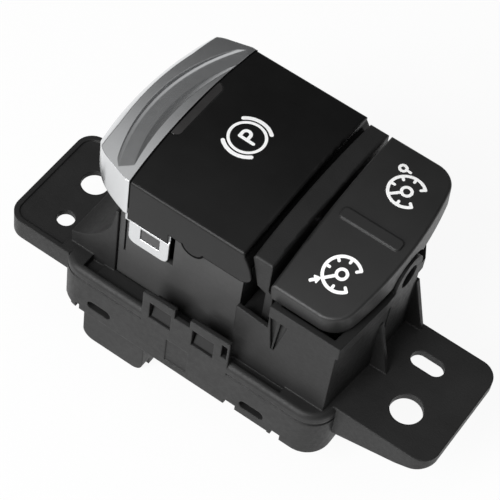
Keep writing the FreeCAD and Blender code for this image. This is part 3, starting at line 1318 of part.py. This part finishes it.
# The rocker's pieces tilt together about its axis
turn = Placement(
    Vector(0, 0, 0), Rotation(Vector(1, 0, 0), s.rocker_rest_tilt.value),
    Vector(0, s.rocker_axis_across.value, rocker_axis.value))
for piece in ROCKER:
    thing = piece.body if isinstance(piece, Moulding) else piece
    thing.Placement = turn.multiply(thing.Placement)
DOCUMENT.recompute()

failed = [o.Label for o in DOCUMENT.Objects if "Invalid" in o.State or "Error" in o.State]
if failed:
    raise SystemExit(f"these features failed: {failed}")
os.makedirs("parts", exist_ok=True)
for piece in PIECES + ROCKER:
    thing = piece.body if isinstance(piece, Moulding) else piece
    if thing.Shape.isNull() or not thing.Shape.isValid():
        raise SystemExit(f"{thing.Label} has no valid shape")
    thing.Shape.exportStep(f"parts/{thing.Label}.step")
    box = thing.Shape.BoundBox
    print(f"{thing.Label:24s} volume {thing.Shape.Volume:9.1f}  solids {len(thing.Shape.Solids)}"
          f"  x {box.XMin:.1f} {box.XMax:.1f}  y {box.YMin:.1f} {box.YMax:.1f}  z {box.ZMin:.1f} {box.ZMax:.1f}")
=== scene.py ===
import json
import math

import bmesh
import bpy
from mathutils import Matrix, Vector


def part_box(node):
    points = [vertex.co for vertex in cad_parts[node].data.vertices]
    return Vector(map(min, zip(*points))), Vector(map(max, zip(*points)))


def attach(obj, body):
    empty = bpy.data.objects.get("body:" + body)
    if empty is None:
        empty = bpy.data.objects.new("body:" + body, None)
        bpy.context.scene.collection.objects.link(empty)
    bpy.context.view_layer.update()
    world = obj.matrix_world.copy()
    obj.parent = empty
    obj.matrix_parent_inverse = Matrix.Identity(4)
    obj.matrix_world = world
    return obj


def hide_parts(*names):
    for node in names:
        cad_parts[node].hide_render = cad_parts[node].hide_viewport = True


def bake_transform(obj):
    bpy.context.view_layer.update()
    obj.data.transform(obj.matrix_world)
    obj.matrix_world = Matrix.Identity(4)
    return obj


# Looks of the parking brake switch. +Z is up and the near side is towards -Y.
# Sizes of the part are in millimetres, as in the CAD model, and become metres in the meshes.

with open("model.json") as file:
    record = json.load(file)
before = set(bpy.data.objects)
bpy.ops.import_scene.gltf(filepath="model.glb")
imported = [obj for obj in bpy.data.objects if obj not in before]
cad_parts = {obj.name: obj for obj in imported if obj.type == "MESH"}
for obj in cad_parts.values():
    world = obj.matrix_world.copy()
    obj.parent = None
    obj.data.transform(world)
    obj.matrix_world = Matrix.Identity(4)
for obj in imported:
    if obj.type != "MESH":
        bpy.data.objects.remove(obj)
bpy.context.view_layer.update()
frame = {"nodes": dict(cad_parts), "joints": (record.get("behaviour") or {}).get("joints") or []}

MM = 0.001

# From the frame, in millimetres: both hinges, and the cap's half depth and top
joints = {joint["name"]: joint for joint in frame["joints"]}
BUTTON_HINGE = Vector(joints["brake_button_tilt"]["pos_m"]) / MM
ROCKER_HINGE = Vector(joints["cruise_rocker_tilt"]["pos_m"]) / MM
CAP_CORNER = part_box("brake_button_cap")[1] / MM
CAP_HALF = CAP_CORNER.y
CAP_TOP = CAP_CORNER.z

# The rocker rests at one end of its travel, so it is level half way, at this angle from rest
ROCKER_TILT = -joints["cruise_rocker_tilt"]["range_deg"][0] / 2

# Camera of the photograph
CAMERA_PLACE = (116.50, -241.31, 415.06)
CAMERA_RIGHT = (0.81584811, 0.57013897, 0.09660964)
CAMERA_DOWN = (0.51549161, -0.64135695, -0.56826901)
FOCAL_PIXELS = 2028.18
PHOTO_WIDTH = 500
SENSOR = 36.0

# Surfaces that carry the printed symbols, as in the CAD model: crown radii, and the top of the level rocker
CAP_CROWN = 195.0
ROCKER_CROWN = 112.0
ROCKER_TOP = 67.9

# Print: height over the surface, what each further stroke adds, and depth below it
PRINT_PROUD = 0.03
PRINT_STEP = 0.002
PRINT_DEPTH = 0.25

# Materials: part of the noise that a change spreads over, rays for rounded edges, weave in millimetres
RAMP_ENDS = (0.3, 0.7)
BEVEL_SAMPLES = 6
WEAVE_SIZE = 0.9

# Studio: brightness at heights from the horizon (0) to straight overhead (1)
STUDIO_LEVELS = ((0.02, 0.90), (0.12, 0.12), (0.62, 0.10), (0.80, 0.20), (0.90, 0.70))

# Soft boxes: name, place and size in metres, power in watts
LIGHTS = (("front_soft_box", (-0.4, -1.1, 0.42), 0.9, 14.0), ("key_soft_box", (-0.1, -0.8, 0.9), 0.5, 9.0))
LIGHT_AIM = (0, 0, 0.04)

# Floor: metres, grey, and how much of its look is its own white
FLOOR_REACH = 4.0
FLOOR_LEVEL = -0.00005
FLOOR_GREY = 0.85
FLOOR_GLOW = 0.92

# Painted shade in the gaps round the brake button, drawn as thin black strips, in millimetres, and the arc
# below its axle in degrees
CAP_LEFT = -25.55
CAP_BOW = 1.0
LIP_GAP_TOP = 66.2
LIP_END_HEIGHT = 57.0
EAR_RADIUS = 2.85
EAR_ARC = (192, 348)
EAR_GAP_WIDTH = 0.42
EAR_GAP_DEPTH = 0.3
GAP_WIDTH = 0.32
GAP_PROUD = 0.02
GAP_STEPS = 24
LIP_GAP_DEPTH = 0.25
LIP_END_GAP_DEPTH = 0.2

# Symbols: places on the level caps, seen from above, in millimetres
PARKING_CENTRE = (-12.4, 0.95)
RESUME_CENTRE = (23.15, 11.45)
SET_CENTRE = (23.15, -13.5)

# Strokes: degrees for a step of an arc, the fewest steps, steps of a round end, and what counts as touching
ARC_STEP = 5
ARC_LEAST = 8
END_STEPS = 4
CLOSED_WITHIN = 1e-6
WELD_WITHIN = 1e-7

# Symbols: radii, inner and outer ends, stroke widths, and angles in degrees
PARKING_RING = 4.22
PARKING_BRACKET = 5.45
BRACKET_STARTS = (46, 226)
BRACKET_SPAN = 88
PARKING_BOWL = 1.0
GAUGE_RADIUS = 4.15
GAUGE_HUB = 1.17
GAUGE_TICKS = (43, 90, 135, 180, 270, 317)
TICK_ENDS = (3.15, 4.1)
GAUGE_NEEDLE = 225
NEEDLE_ENDS = (1.3, 4.0)
RESUME_RING = 0.82
THIN_STROKE = 0.7
BRACKET_STROKE = 0.95
LETTER_STROKE = 0.8
GAUGE_STROKE = 0.75
TICK_STROKE = 0.68
NEEDLE_STROKE = 0.72
RESUME_STROKE = 0.62
ARROW_SHAFT = 0.75
ARROW_EDGE = 0.4
ARROW_FILL = 0.6


class Nodes:
    """A material's node tree with short ways to add to it."""

    def __init__(self, name):
        self.material = bpy.data.materials.new(name)
        self.material.use_nodes = True
        self.tree = self.material.node_tree
        self.shader = self.tree.nodes["Principled BSDF"]
        self.place = self.add("ShaderNodeTexCoord").outputs["Object"]

    def add(self, kind, **settings):
        node = self.tree.nodes.new(kind)
        for key, value in settings.items():
            setattr(node, key, value)
        return node

    def link(self, output, socket):
        self.tree.links.new(output, socket)

    def set(self, **values):
        """Plain values on the shader's own sockets."""
        for key, value in values.items():
            self.shader.inputs[key.replace("_", " ")].default_value = value

    def noise(self, size, detail=2.0):
        """Noise whose grains are about this many millimetres wide."""
        node = self.add("ShaderNodeTexNoise")
        node.inputs["Scale"].default_value = 1.0 / (size * MM)
        node.inputs["Detail"].default_value = detail
        self.link(self.place, node.inputs["Vector"])
        return node.outputs["Fac"]

    def ramp(self, factor, low, high):
        """A smooth change between two numbers or colours."""
        node = self.add("ShaderNodeValToRGB")
        for stop, position, value in zip(node.color_ramp.elements, RAMP_ENDS, (low, high)):
            colour = value if isinstance(value, tuple) else (value, value, value)
            stop.color = (*colour, 1.0)
            stop.position = position
        self.link(factor, node.inputs["Fac"])
        return node.outputs["Color"]

    def relief(self, edge, *layers):
        """Rounded edges, then one bump for each height field and its depth in millimetres."""
        node = self.add("ShaderNodeBevel", samples=BEVEL_SAMPLES)
        node.inputs["Radius"].default_value = edge * MM
        normal = node.outputs["Normal"]
        for height, depth in layers:
            bump = self.add("ShaderNodeBump")
            bump.inputs["Strength"].default_value = 1.0
            bump.inputs["Distance"].default_value = depth * MM
            self.link(height, bump.inputs["Height"])
            self.link(normal, bump.inputs["Normal"])
            normal = bump.outputs["Normal"]
        self.link(normal, self.shader.inputs["Normal"])


def moulded(name, dark, light, smooth, rough, grain=0.16, depth=0.006, edge=0.25, specular=0.5):
    """Injection moulded plastic: spark eroded grain, faint flow marks, uneven gloss."""
    n = Nodes(name)
    n.set(Specular_IOR_Level=specular)
    n.link(n.ramp(n.noise(9.0, 3.0), dark, light), n.shader.inputs["Base Color"])
    n.link(n.ramp(n.noise(1.1, 4.0), smooth, rough), n.shader.inputs["Roughness"])
    n.relief(edge, (n.noise(grain, 3.0), depth), (n.noise(2.2, 1.0), depth * 0.5))
    return n.material


def metal(name, colour, smooth, rough, grain, depth, edge=0.15):
    """Plated or drawn metal with fine unevenness."""
    n = Nodes(name)
    n.set(Metallic=1.0, Base_Color=(*colour, 1.0))
    n.link(n.ramp(n.noise(grain * 6, 3.0), smooth, rough), n.shader.inputs["Roughness"])
    n.relief(edge, (n.noise(grain, 2.0), depth))
    return n.material


def smoked(name):
    """Smoked clear plastic of the indicator lens."""
    n = Nodes(name)
    n.set(Specular_IOR_Level=0.5, IOR=1.49, Coat_Weight=0.3)
    n.link(n.ramp(n.noise(4.0), (0.020, 0.019, 0.019), (0.026, 0.025, 0.025)), n.shader.inputs["Base Color"])
    n.link(n.ramp(n.noise(0.8), 0.12, 0.2), n.shader.inputs["Roughness"])
    n.relief(0.15, (n.noise(0.9), 0.002))
    return n.material


def clear(name):
    """Clear acrylic of the light guides."""
    n = Nodes(name)
    n.set(Transmission_Weight=0.85, IOR=1.49, Base_Color=(0.86, 0.89, 0.9, 1.0))
    n.link(n.ramp(n.noise(1.0), 0.04, 0.12), n.shader.inputs["Roughness"])
    n.relief(0.1, (n.noise(1.5), 0.003))
    return n.material


def board_lacquer(name):
    """Green solder resist over the weave of the laminate."""
    n = Nodes(name)
    n.set(Specular_IOR_Level=0.5)
    weave = n.add("ShaderNodeTexChecker")
    weave.inputs["Scale"].default_value = 1.0 / (WEAVE_SIZE * MM)
    n.link(n.place, weave.inputs["Vector"])
    n.link(n.ramp(n.noise(3.0), (0.006, 0.06, 0.024), (0.010, 0.085, 0.035)), n.shader.inputs["Base Color"])
    n.link(n.ramp(n.noise(0.6), 0.3, 0.45), n.shader.inputs["Roughness"])
    n.relief(0.1, (weave.outputs["Fac"], 0.004), (n.noise(0.3), 0.003))
    return n.material


def print_ink(name):
    """White of the printed and laser cut symbols."""
    n = Nodes(name)
    n.set(Specular_IOR_Level=0.35)
    n.link(n.ramp(n.noise(0.5), 0.86, 0.92), n.shader.inputs["Base Color"])
    n.link(n.ramp(n.noise(0.3), 0.5, 0.6), n.shader.inputs["Roughness"])
    n.relief(0.02, (n.noise(0.12), 0.003))
    return n.material


FRAME_PLASTIC = moulded(
    "frame_plastic", 0.012, 0.016, 0.42, 0.55, grain=0.35, depth=0.045, edge=0.55, specular=0.25)
HOUSING_PLASTIC = moulded(
    "housing_plastic", 0.036, 0.042, 0.40, 0.5, grain=0.25, depth=0.010, specular=0.25)
TUB_PLASTIC = moulded(
    "lower_housing_plastic", 0.011, 0.015, 0.4, 0.5, grain=0.35, depth=0.03, edge=0.4, specular=0.25)
GLOSS_BLACK = moulded(
    "button_gloss_black", 0.006, 0.008, 0.16, 0.22, grain=0.3, depth=0.0015, edge=0.6, specular=0.16)
SATIN_BLACK = moulded(
    "rocker_satin_black", 0.012, 0.015, 0.38, 0.46, grain=0.25, depth=0.007, edge=0.6, specular=0.35)
INNER_PLASTIC = moulded("inner_plastic", 0.035, 0.045, 0.45, 0.55)
NATURAL_PLASTIC = moulded("plunger_acetal", (0.62, 0.61, 0.57), (0.68, 0.67, 0.63), 0.3, 0.4, depth=0.002)
RUBBER = moulded("contact_rubber", 0.06, 0.08, 0.6, 0.75, grain=0.25, specular=0.3)
# Near black for the strips of painted shade in the gaps round the brake button
PAINTED_GAP_SHADE = moulded("painted_gap_shade", 0.001, 0.002, 0.8, 0.9, specular=0.05)
SATIN_CHROME = metal("satin_chrome", (0.74, 0.75, 0.76), 0.20, 0.24, 0.25, 0.0004, edge=0.3)
STEEL = metal("drawn_steel", (0.48, 0.48, 0.49), 0.25, 0.4, 0.3, 0.002)
TIN = metal("tin_plate", (0.72, 0.70, 0.66), 0.2, 0.35, 0.2, 0.002)
SMOKED = smoked("smoked_lens")
CLEAR = clear("clear_acrylic")
LACQUER = board_lacquer("board_lacquer")
INK = print_ink("symbol_white")

FINISHES = {
    "mounting_frame": FRAME_PLASTIC,
    "brake_switch_housing": HOUSING_PLASTIC,
    "brake_button_cap": GLOSS_BLACK,
    "indicator_lens": SMOKED,
    "chrome_lip": SATIN_CHROME,
    "brake_button_carrier": INNER_PLASTIC,
    "brake_button_axle": STEEL,
    "push_plunger": NATURAL_PLASTIC,
    "pull_plunger": NATURAL_PLASTIC,
    "push_plunger_spring": STEEL,
    "pull_plunger_spring": STEEL,
    "cruise_rocker_cap": SATIN_BLACK,
    "rocker_carrier": INNER_PLASTIC,
    "rocker_axle": STEEL,
    "detent_plunger": NATURAL_PLASTIC,
    "detent_spring": STEEL,
    "detent_track": INNER_PLASTIC,
    "lower_housing": TUB_PLASTIC,
    "circuit_board": LACQUER,
    "contact_mat": RUBBER,
    "connector_pins": TIN,
    "brake_light_guide": CLEAR,
    "rocker_light_guide": CLEAR,
    "indicator_lamps": CLEAR,
    "housing_screws": STEEL,
    "board_screws": STEEL,
}


def add_object(name, data):
    """A new object in the scene."""
    thing = bpy.data.objects.new(name, data)
    bpy.context.scene.collection.objects.link(thing)
    return thing


def add_piece(name, mesh, material, body):
    """A piece of one material from a finished mesh, riding on a body of the CAD model."""
    data = bpy.data.meshes.new(name)
    mesh.to_mesh(data)
    mesh.free()
    data.materials.append(material)
    piece = add_object(name, data)
    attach(piece, body)


def finish_nodes():
    """Give every CAD node its material."""
    for name, thing in frame["nodes"].items():
        thing.data.materials.clear()
        thing.data.materials.append(FINISHES[name])


def add_spring(node, seat_height):
    """A still copy of a spring in place of its node."""
    low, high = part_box(node)
    middle = (low + high) / 2
    ends = [(middle.x, middle.y, low.z), (middle.x, middle.y, high.z)]
    ends.sort(key=lambda end: abs(end[2] - seat_height))
    piece = add_object(f"{node}_coil", frame["nodes"][node].data.copy())
    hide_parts(node)
    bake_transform(piece)


def add_springs():
    """One spring for each node that the frame says a joint deforms."""
    for joint in frame["joints"]:
        for spring in joint.get("deforming_nodes", []):
            add_spring(spring["node"], spring["fixed_end_z_m"])


def cap_height(y):
    """Height of the brake button's crowned top."""
    return CAP_TOP - CAP_CROWN + math.sqrt(CAP_CROWN ** 2 - y ** 2)


def rocker_height(y):
    """Height of the level rocker's crowned top."""
    return ROCKER_TOP - ROCKER_CROWN + math.sqrt(ROCKER_CROWN ** 2 - (y - ROCKER_HINGE.y) ** 2)


def arc(centre, radius, first, last):
    """Points along an arc, angles in degrees."""
    steps = max(ARC_LEAST, int(abs(last - first) / ARC_STEP))
    turns = [math.radians(first + (last - first) * k / steps) for k in range(steps + 1)]
    return [(centre[0] + radius * math.cos(t), centre[1] + radius * math.sin(t)) for t in turns]


def spoke(centre, ends, angle):
    """A straight stroke away from a centre, from one distance to another."""
    turn = math.radians(angle)
    return [(centre[0] + r * math.cos(turn), centre[1] + r * math.sin(turn)) for r in ends]


def stroke_outline(points, width):
    """Left and right side of a stroke of even width with round ends, and whether it is closed."""
    half = width / 2
    closed = math.dist(points[0], points[-1]) < CLOSED_WITHIN
    sides = ([], [])
    for number, point in enumerate(points):
        before = points[number - 1] if number else (points[-2] if closed else point)
        after = points[number + 1] if number + 1 < len(points) else (points[1] if closed else point)
        along = Vector((after[0] - before[0], after[1] - before[1])).normalized()
        for side, sign in zip(sides, (1, -1)):
            side.append((point[0] - sign * along.y * half, point[1] + sign * along.x * half))
    if closed:
        return sides, closed
    for end, heading, turn in ((points[-1], points[-2], 1), (points[0], points[1], -1)):
        angle = math.atan2(end[1] - heading[1], end[0] - heading[0])
        for step in range(1, END_STEPS + 1):
            swing = math.radians(90 * (1 - step / END_STEPS))
            reach = half * math.cos(swing)
            spread = half * math.sin(swing)
            middle = (end[0] + reach * math.cos(angle), end[1] + reach * math.sin(angle))
            left = (middle[0] - spread * math.sin(angle), middle[1] + spread * math.cos(angle))
            right = (middle[0] + spread * math.sin(angle), middle[1] - spread * math.cos(angle))
            if turn > 0:
                sides[0].append(left)
                sides[1].append(right)
            else:
                sides[0].insert(0, right)
                sides[1].insert(0, left)
    return sides, closed


def symbol(name, strokes, height, body, turn=None):
    """A printed symbol: thin strokes that follow the surface under them."""
    mesh = bmesh.new()
    for number, (points, width) in enumerate(strokes):
        (left, right), closed = stroke_outline(points, width)
        lift = PRINT_PROUD + PRINT_STEP * number
        rows = []
        for a, b in zip(left, right):
            row = []
            for x, y in (a, b):
                z = height(y)
                row.append(mesh.verts.new((x * MM, y * MM, (z + lift) * MM)))
                row.append(mesh.verts.new((x * MM, y * MM, (z - PRINT_DEPTH) * MM)))
            rows.append(row)
        for (a, al, b, bl), (c, cl, d, dl) in zip(rows, rows[1:]):
            mesh.faces.new((a, b, d, c))
            mesh.faces.new((al, cl, dl, bl))
            mesh.faces.new((a, c, cl, al))
            mesh.faces.new((b, bl, dl, d))
        if not closed:
            for top, low, top2, low2 in (rows[0], rows[-1]):
                mesh.faces.new((top, low, low2, top2))
    bmesh.ops.remove_doubles(mesh, verts=mesh.verts, dist=WELD_WITHIN)
    bmesh.ops.recalc_face_normals(mesh, faces=mesh.faces)
    if turn is not None:
        bmesh.ops.transform(mesh, matrix=turn, verts=mesh.verts)
    add_piece(name, mesh, INK, body)


def parking_symbol():
    """A letter P in a ring between two brackets, read from the right hand side."""
    x, y = PARKING_CENTRE
    stem = [(x - 1.62, y - 0.62), (x + 2.1, y - 0.72)]
    bowl = [(x - 1.6, y - 0.6), *arc((x - 0.62, y + 0.6), PARKING_BOWL, 180, 0), (x + 0.4, y - 0.6)]
    strokes = [(arc((x, y), PARKING_RING, 0, 360), THIN_STROKE)]
    for first in BRACKET_STARTS:
        strokes.append((arc((x, y), PARKING_BRACKET, first, first + BRACKET_SPAN), BRACKET_STROKE))
    strokes += [(stem, LETTER_STROKE), (bowl, LETTER_STROKE)]
    symbol("parking_symbol", strokes, cap_height, "brake_button")


def gauge(centre):
    """A speed gauge, open on the right, with ticks, hub and needle."""
    strokes = [(arc(centre, GAUGE_RADIUS, GAUGE_TICKS[0], GAUGE_TICKS[-1]), GAUGE_STROKE)]
    for angle in GAUGE_TICKS:
        strokes.append((spoke(centre, TICK_ENDS, angle), TICK_STROKE))
    strokes.append((arc(centre, GAUGE_HUB, 0, 360), NEEDLE_STROKE))
    strokes.append((spoke(centre, NEEDLE_ENDS, GAUGE_NEEDLE), NEEDLE_STROKE))
    return strokes


def set_arrow(x, y):
    """The arrow outside the lower gauge, from its tip: shaft, the three edges of its head and the filling."""
    shaft = [(x - 1.45, y - 1.5), (x - 0.6, y - 0.65)]
    one = (x - 1.2, y - 0.2)
    two = (x - 0.15, y - 1.25)
    middle = [(x - 0.5, y - 0.55), (x - 0.2, y - 0.2)]
    edges = [([one, (x, y)], ARROW_EDGE), ([two, (x, y)], ARROW_EDGE), ([one, two], ARROW_EDGE)]
    return [(shaft, ARROW_SHAFT), *edges, (middle, ARROW_FILL)]


def gauge_symbols():
    """The two gauges of the speed rocker: one with a ring outside it, one with an arrow."""
    pivot = ROCKER_HINGE * MM
    tilt = Matrix.Rotation(math.radians(ROCKER_TILT), 4, "X")
    turn = Matrix.Translation(pivot) @ tilt @ Matrix.Translation(-pivot)
    x, y = RESUME_CENTRE[0] - 4.0, RESUME_CENTRE[1] + 4.9
    resume = gauge(RESUME_CENTRE)
    resume.append((arc((x, y), RESUME_RING, 0, 360), TICK_STROKE))
    resume.append(([(x + 0.9, y), (x + 1.95, y - 0.08)], RESUME_STROKE))
    symbol("resume_symbol", resume, rocker_height, "cruise_rocker", turn)
    arrow = set_arrow(SET_CENTRE[0] - 3.35, SET_CENTRE[1] - 3.25)
    symbol("set_symbol", gauge(SET_CENTRE) + arrow, rocker_height, "cruise_rocker", turn)


def painted_shade_strip(name, path, width, depth):
    """A thin black strip of painted shade in a running gap; its path gives points with their side and outward
    directions.
    """
    mesh = bmesh.new()
    rows = []
    for point, side, out in path:
        row = []
        for sign, level in ((1, GAP_PROUD), (-1, GAP_PROUD), (-1, -depth), (1, -depth)):
            corner = Vector(point) + Vector(side) * sign * width / 2 + Vector(out) * level
            row.append(mesh.verts.new(corner * MM))
        rows.append(row)
    for one, two in zip(rows, rows[1:]):
        for k in range(4):
            mesh.faces.new((one[k], one[(k + 1) % 4], two[(k + 1) % 4], two[k]))
    mesh.faces.new(rows[0])
    mesh.faces.new(rows[-1])
    bmesh.ops.recalc_face_normals(mesh, faces=mesh.faces)
    # The strip is black paint that stands in for the shade in the gap
    add_piece(name, mesh, PAINTED_GAP_SHADE, "brake_button")


def paint_button_gap_shade():
    """Painted shade as thin black strips in the gap between lip and cap, over the top and down both ends, and
    round each ear.
    """
    path = []
    for step in range(GAP_STEPS + 1):
        y = CAP_HALF * (2 * step / GAP_STEPS - 1)
        x = CAP_LEFT - CAP_BOW * (1 - (y / CAP_HALF) ** 2)
        upward = Vector((0, -y / CAP_CROWN, 1)).normalized()
        path.append(((x, y, cap_height(y)), (1, 0, 0), upward))
    painted_shade_strip("lip_gap_shade", path, GAP_WIDTH, LIP_GAP_DEPTH)
    for name, side in (("near", -1), ("far", 1)):
        face = side * CAP_HALF
        down = [((CAP_LEFT, face, z), (1, 0, 0), (0, side, 0)) for z in (LIP_GAP_TOP, LIP_END_HEIGHT)]
        painted_shade_strip(f"{name}_lip_gap_shade", down, GAP_WIDTH, LIP_END_GAP_DEPTH)
        ring = []
        for x, z in arc(BUTTON_HINGE.xz, EAR_RADIUS, *EAR_ARC):
            radial = Vector((x - BUTTON_HINGE.x, 0, z - BUTTON_HINGE.z)).normalized()
            ring.append(((x, face, z), radial, (0, side, 0)))
        painted_shade_strip(f"{name}_ear_gap_shade", ring, EAR_GAP_WIDTH, EAR_GAP_DEPTH)


def add_camera():
    """The photograph's camera."""
    data = bpy.data.cameras.new("camera")
    data.sensor_width = SENSOR
    data.lens = FOCAL_PIXELS * SENSOR / PHOTO_WIDTH
    data.clip_start = 0.01
    data.clip_end = 20.0
    camera = add_object("camera", data)
    right = Vector(CAMERA_RIGHT)
    up = -Vector(CAMERA_DOWN)
    back = right.cross(up)
    turn = Matrix((right, up, back)).transposed().to_4x4()
    camera.matrix_world = Matrix.Translation(Vector(CAMERA_PLACE) * MM) @ turn
    bpy.context.scene.camera = camera


def area_light(name, place, aim, size, power):
    """A soft box that looks at a point."""
    data = bpy.data.lights.new(name, "AREA")
    data.shape = "DISK"
    data.size = size
    data.energy = power
    lamp = add_object(name, data)
    lamp.location = place
    lamp.rotation_mode = "QUATERNION"
    lamp.rotation_quaternion = (Vector(aim) - Vector(place)).to_track_quat("-Z", "Y")


def seen_directly(tree, *kinds):
    """One for rays of these kinds, otherwise zero."""
    path = tree.nodes.new("ShaderNodeLightPath")
    total = path.outputs[kinds[0]]
    for kind in kinds[1:]:
        add = tree.nodes.new("ShaderNodeMath")
        add.operation = "MAXIMUM"
        tree.links.new(total, add.inputs[0])
        tree.links.new(path.outputs[kind], add.inputs[1])
        total = add.outputs[0]
    return total


def add_world():
    """Studio around the object: white table, dim walls, soft box overhead, white where it is looked at."""
    world = bpy.data.worlds.new("studio")
    bpy.context.scene.world = world
    world.use_nodes = True
    tree = world.node_tree
    background = tree.nodes["Background"]
    place = tree.nodes.new("ShaderNodeTexCoord")
    parts = tree.nodes.new("ShaderNodeSeparateXYZ")
    tree.links.new(place.outputs["Generated"], parts.inputs[0])
    ramp = tree.nodes.new("ShaderNodeValToRGB")
    for level in STUDIO_LEVELS[1:-1]:
        ramp.color_ramp.elements.new(level[0])
    for stop, (height, light) in zip(ramp.color_ramp.elements, STUDIO_LEVELS):
        stop.position = height
        stop.color = (light, light, light, 1.0)
    tree.links.new(parts.outputs["Z"], ramp.inputs["Fac"])
    white = tree.nodes.new("ShaderNodeBackground")
    mix = tree.nodes.new("ShaderNodeMixShader")
    tree.links.new(ramp.outputs["Color"], background.inputs["Color"])
    tree.links.new(seen_directly(tree, "Is Camera Ray"), mix.inputs["Fac"])
    white.inputs["Color"].default_value = (1.0, 1.0, 1.0, 1.0)
    tree.links.new(background.outputs[0], mix.inputs[1])
    tree.links.new(white.outputs[0], mix.inputs[2])
    tree.links.new(mix.outputs[0], tree.nodes["World Output"].inputs["Surface"])


def add_floor():
    """A plain pale floor that keeps a faint shadow."""
    mesh = bpy.data.meshes.new("floor")
    square = ((-1, -1), (1, -1), (1, 1), (-1, 1))
    corners = [(x * FLOOR_REACH, y * FLOOR_REACH, FLOOR_LEVEL) for x, y in square]
    mesh.from_pydata(corners, [], [(0, 1, 2, 3)])
    floor = add_object("floor", mesh)
    material = bpy.data.materials.new("pale_floor")
    material.use_nodes = True
    tree = material.node_tree
    tree.nodes.remove(tree.nodes["Principled BSDF"])
    diffuse = tree.nodes.new("ShaderNodeBsdfDiffuse")
    diffuse.inputs["Color"].default_value = (FLOOR_GREY, FLOOR_GREY, FLOOR_GREY, 1.0)
    glow = tree.nodes.new("ShaderNodeEmission")
    share = tree.nodes.new("ShaderNodeMath")
    share.operation = "MULTIPLY"
    share.inputs[1].default_value = FLOOR_GLOW
    mix = tree.nodes.new("ShaderNodeMixShader")
    seen = seen_directly(tree, "Is Camera Ray", "Is Glossy Ray", "Is Transmission Ray")
    tree.links.new(seen, share.inputs[0])
    tree.links.new(share.outputs[0], mix.inputs["Fac"])
    tree.links.new(diffuse.outputs[0], mix.inputs[1])
    tree.links.new(glow.outputs[0], mix.inputs[2])
    tree.links.new(mix.outputs[0], tree.nodes["Material Output"].inputs["Surface"])
    mesh.materials.append(material)


finish_nodes()
add_springs()
parking_symbol()
gauge_symbols()
paint_button_gap_shade()
add_camera()
add_world()
add_floor()
for name, place, size, power in LIGHTS:
    area_light(name, place, LIGHT_AIM, size, power)
bpy.context.scene.view_settings.view_transform = "Standard"
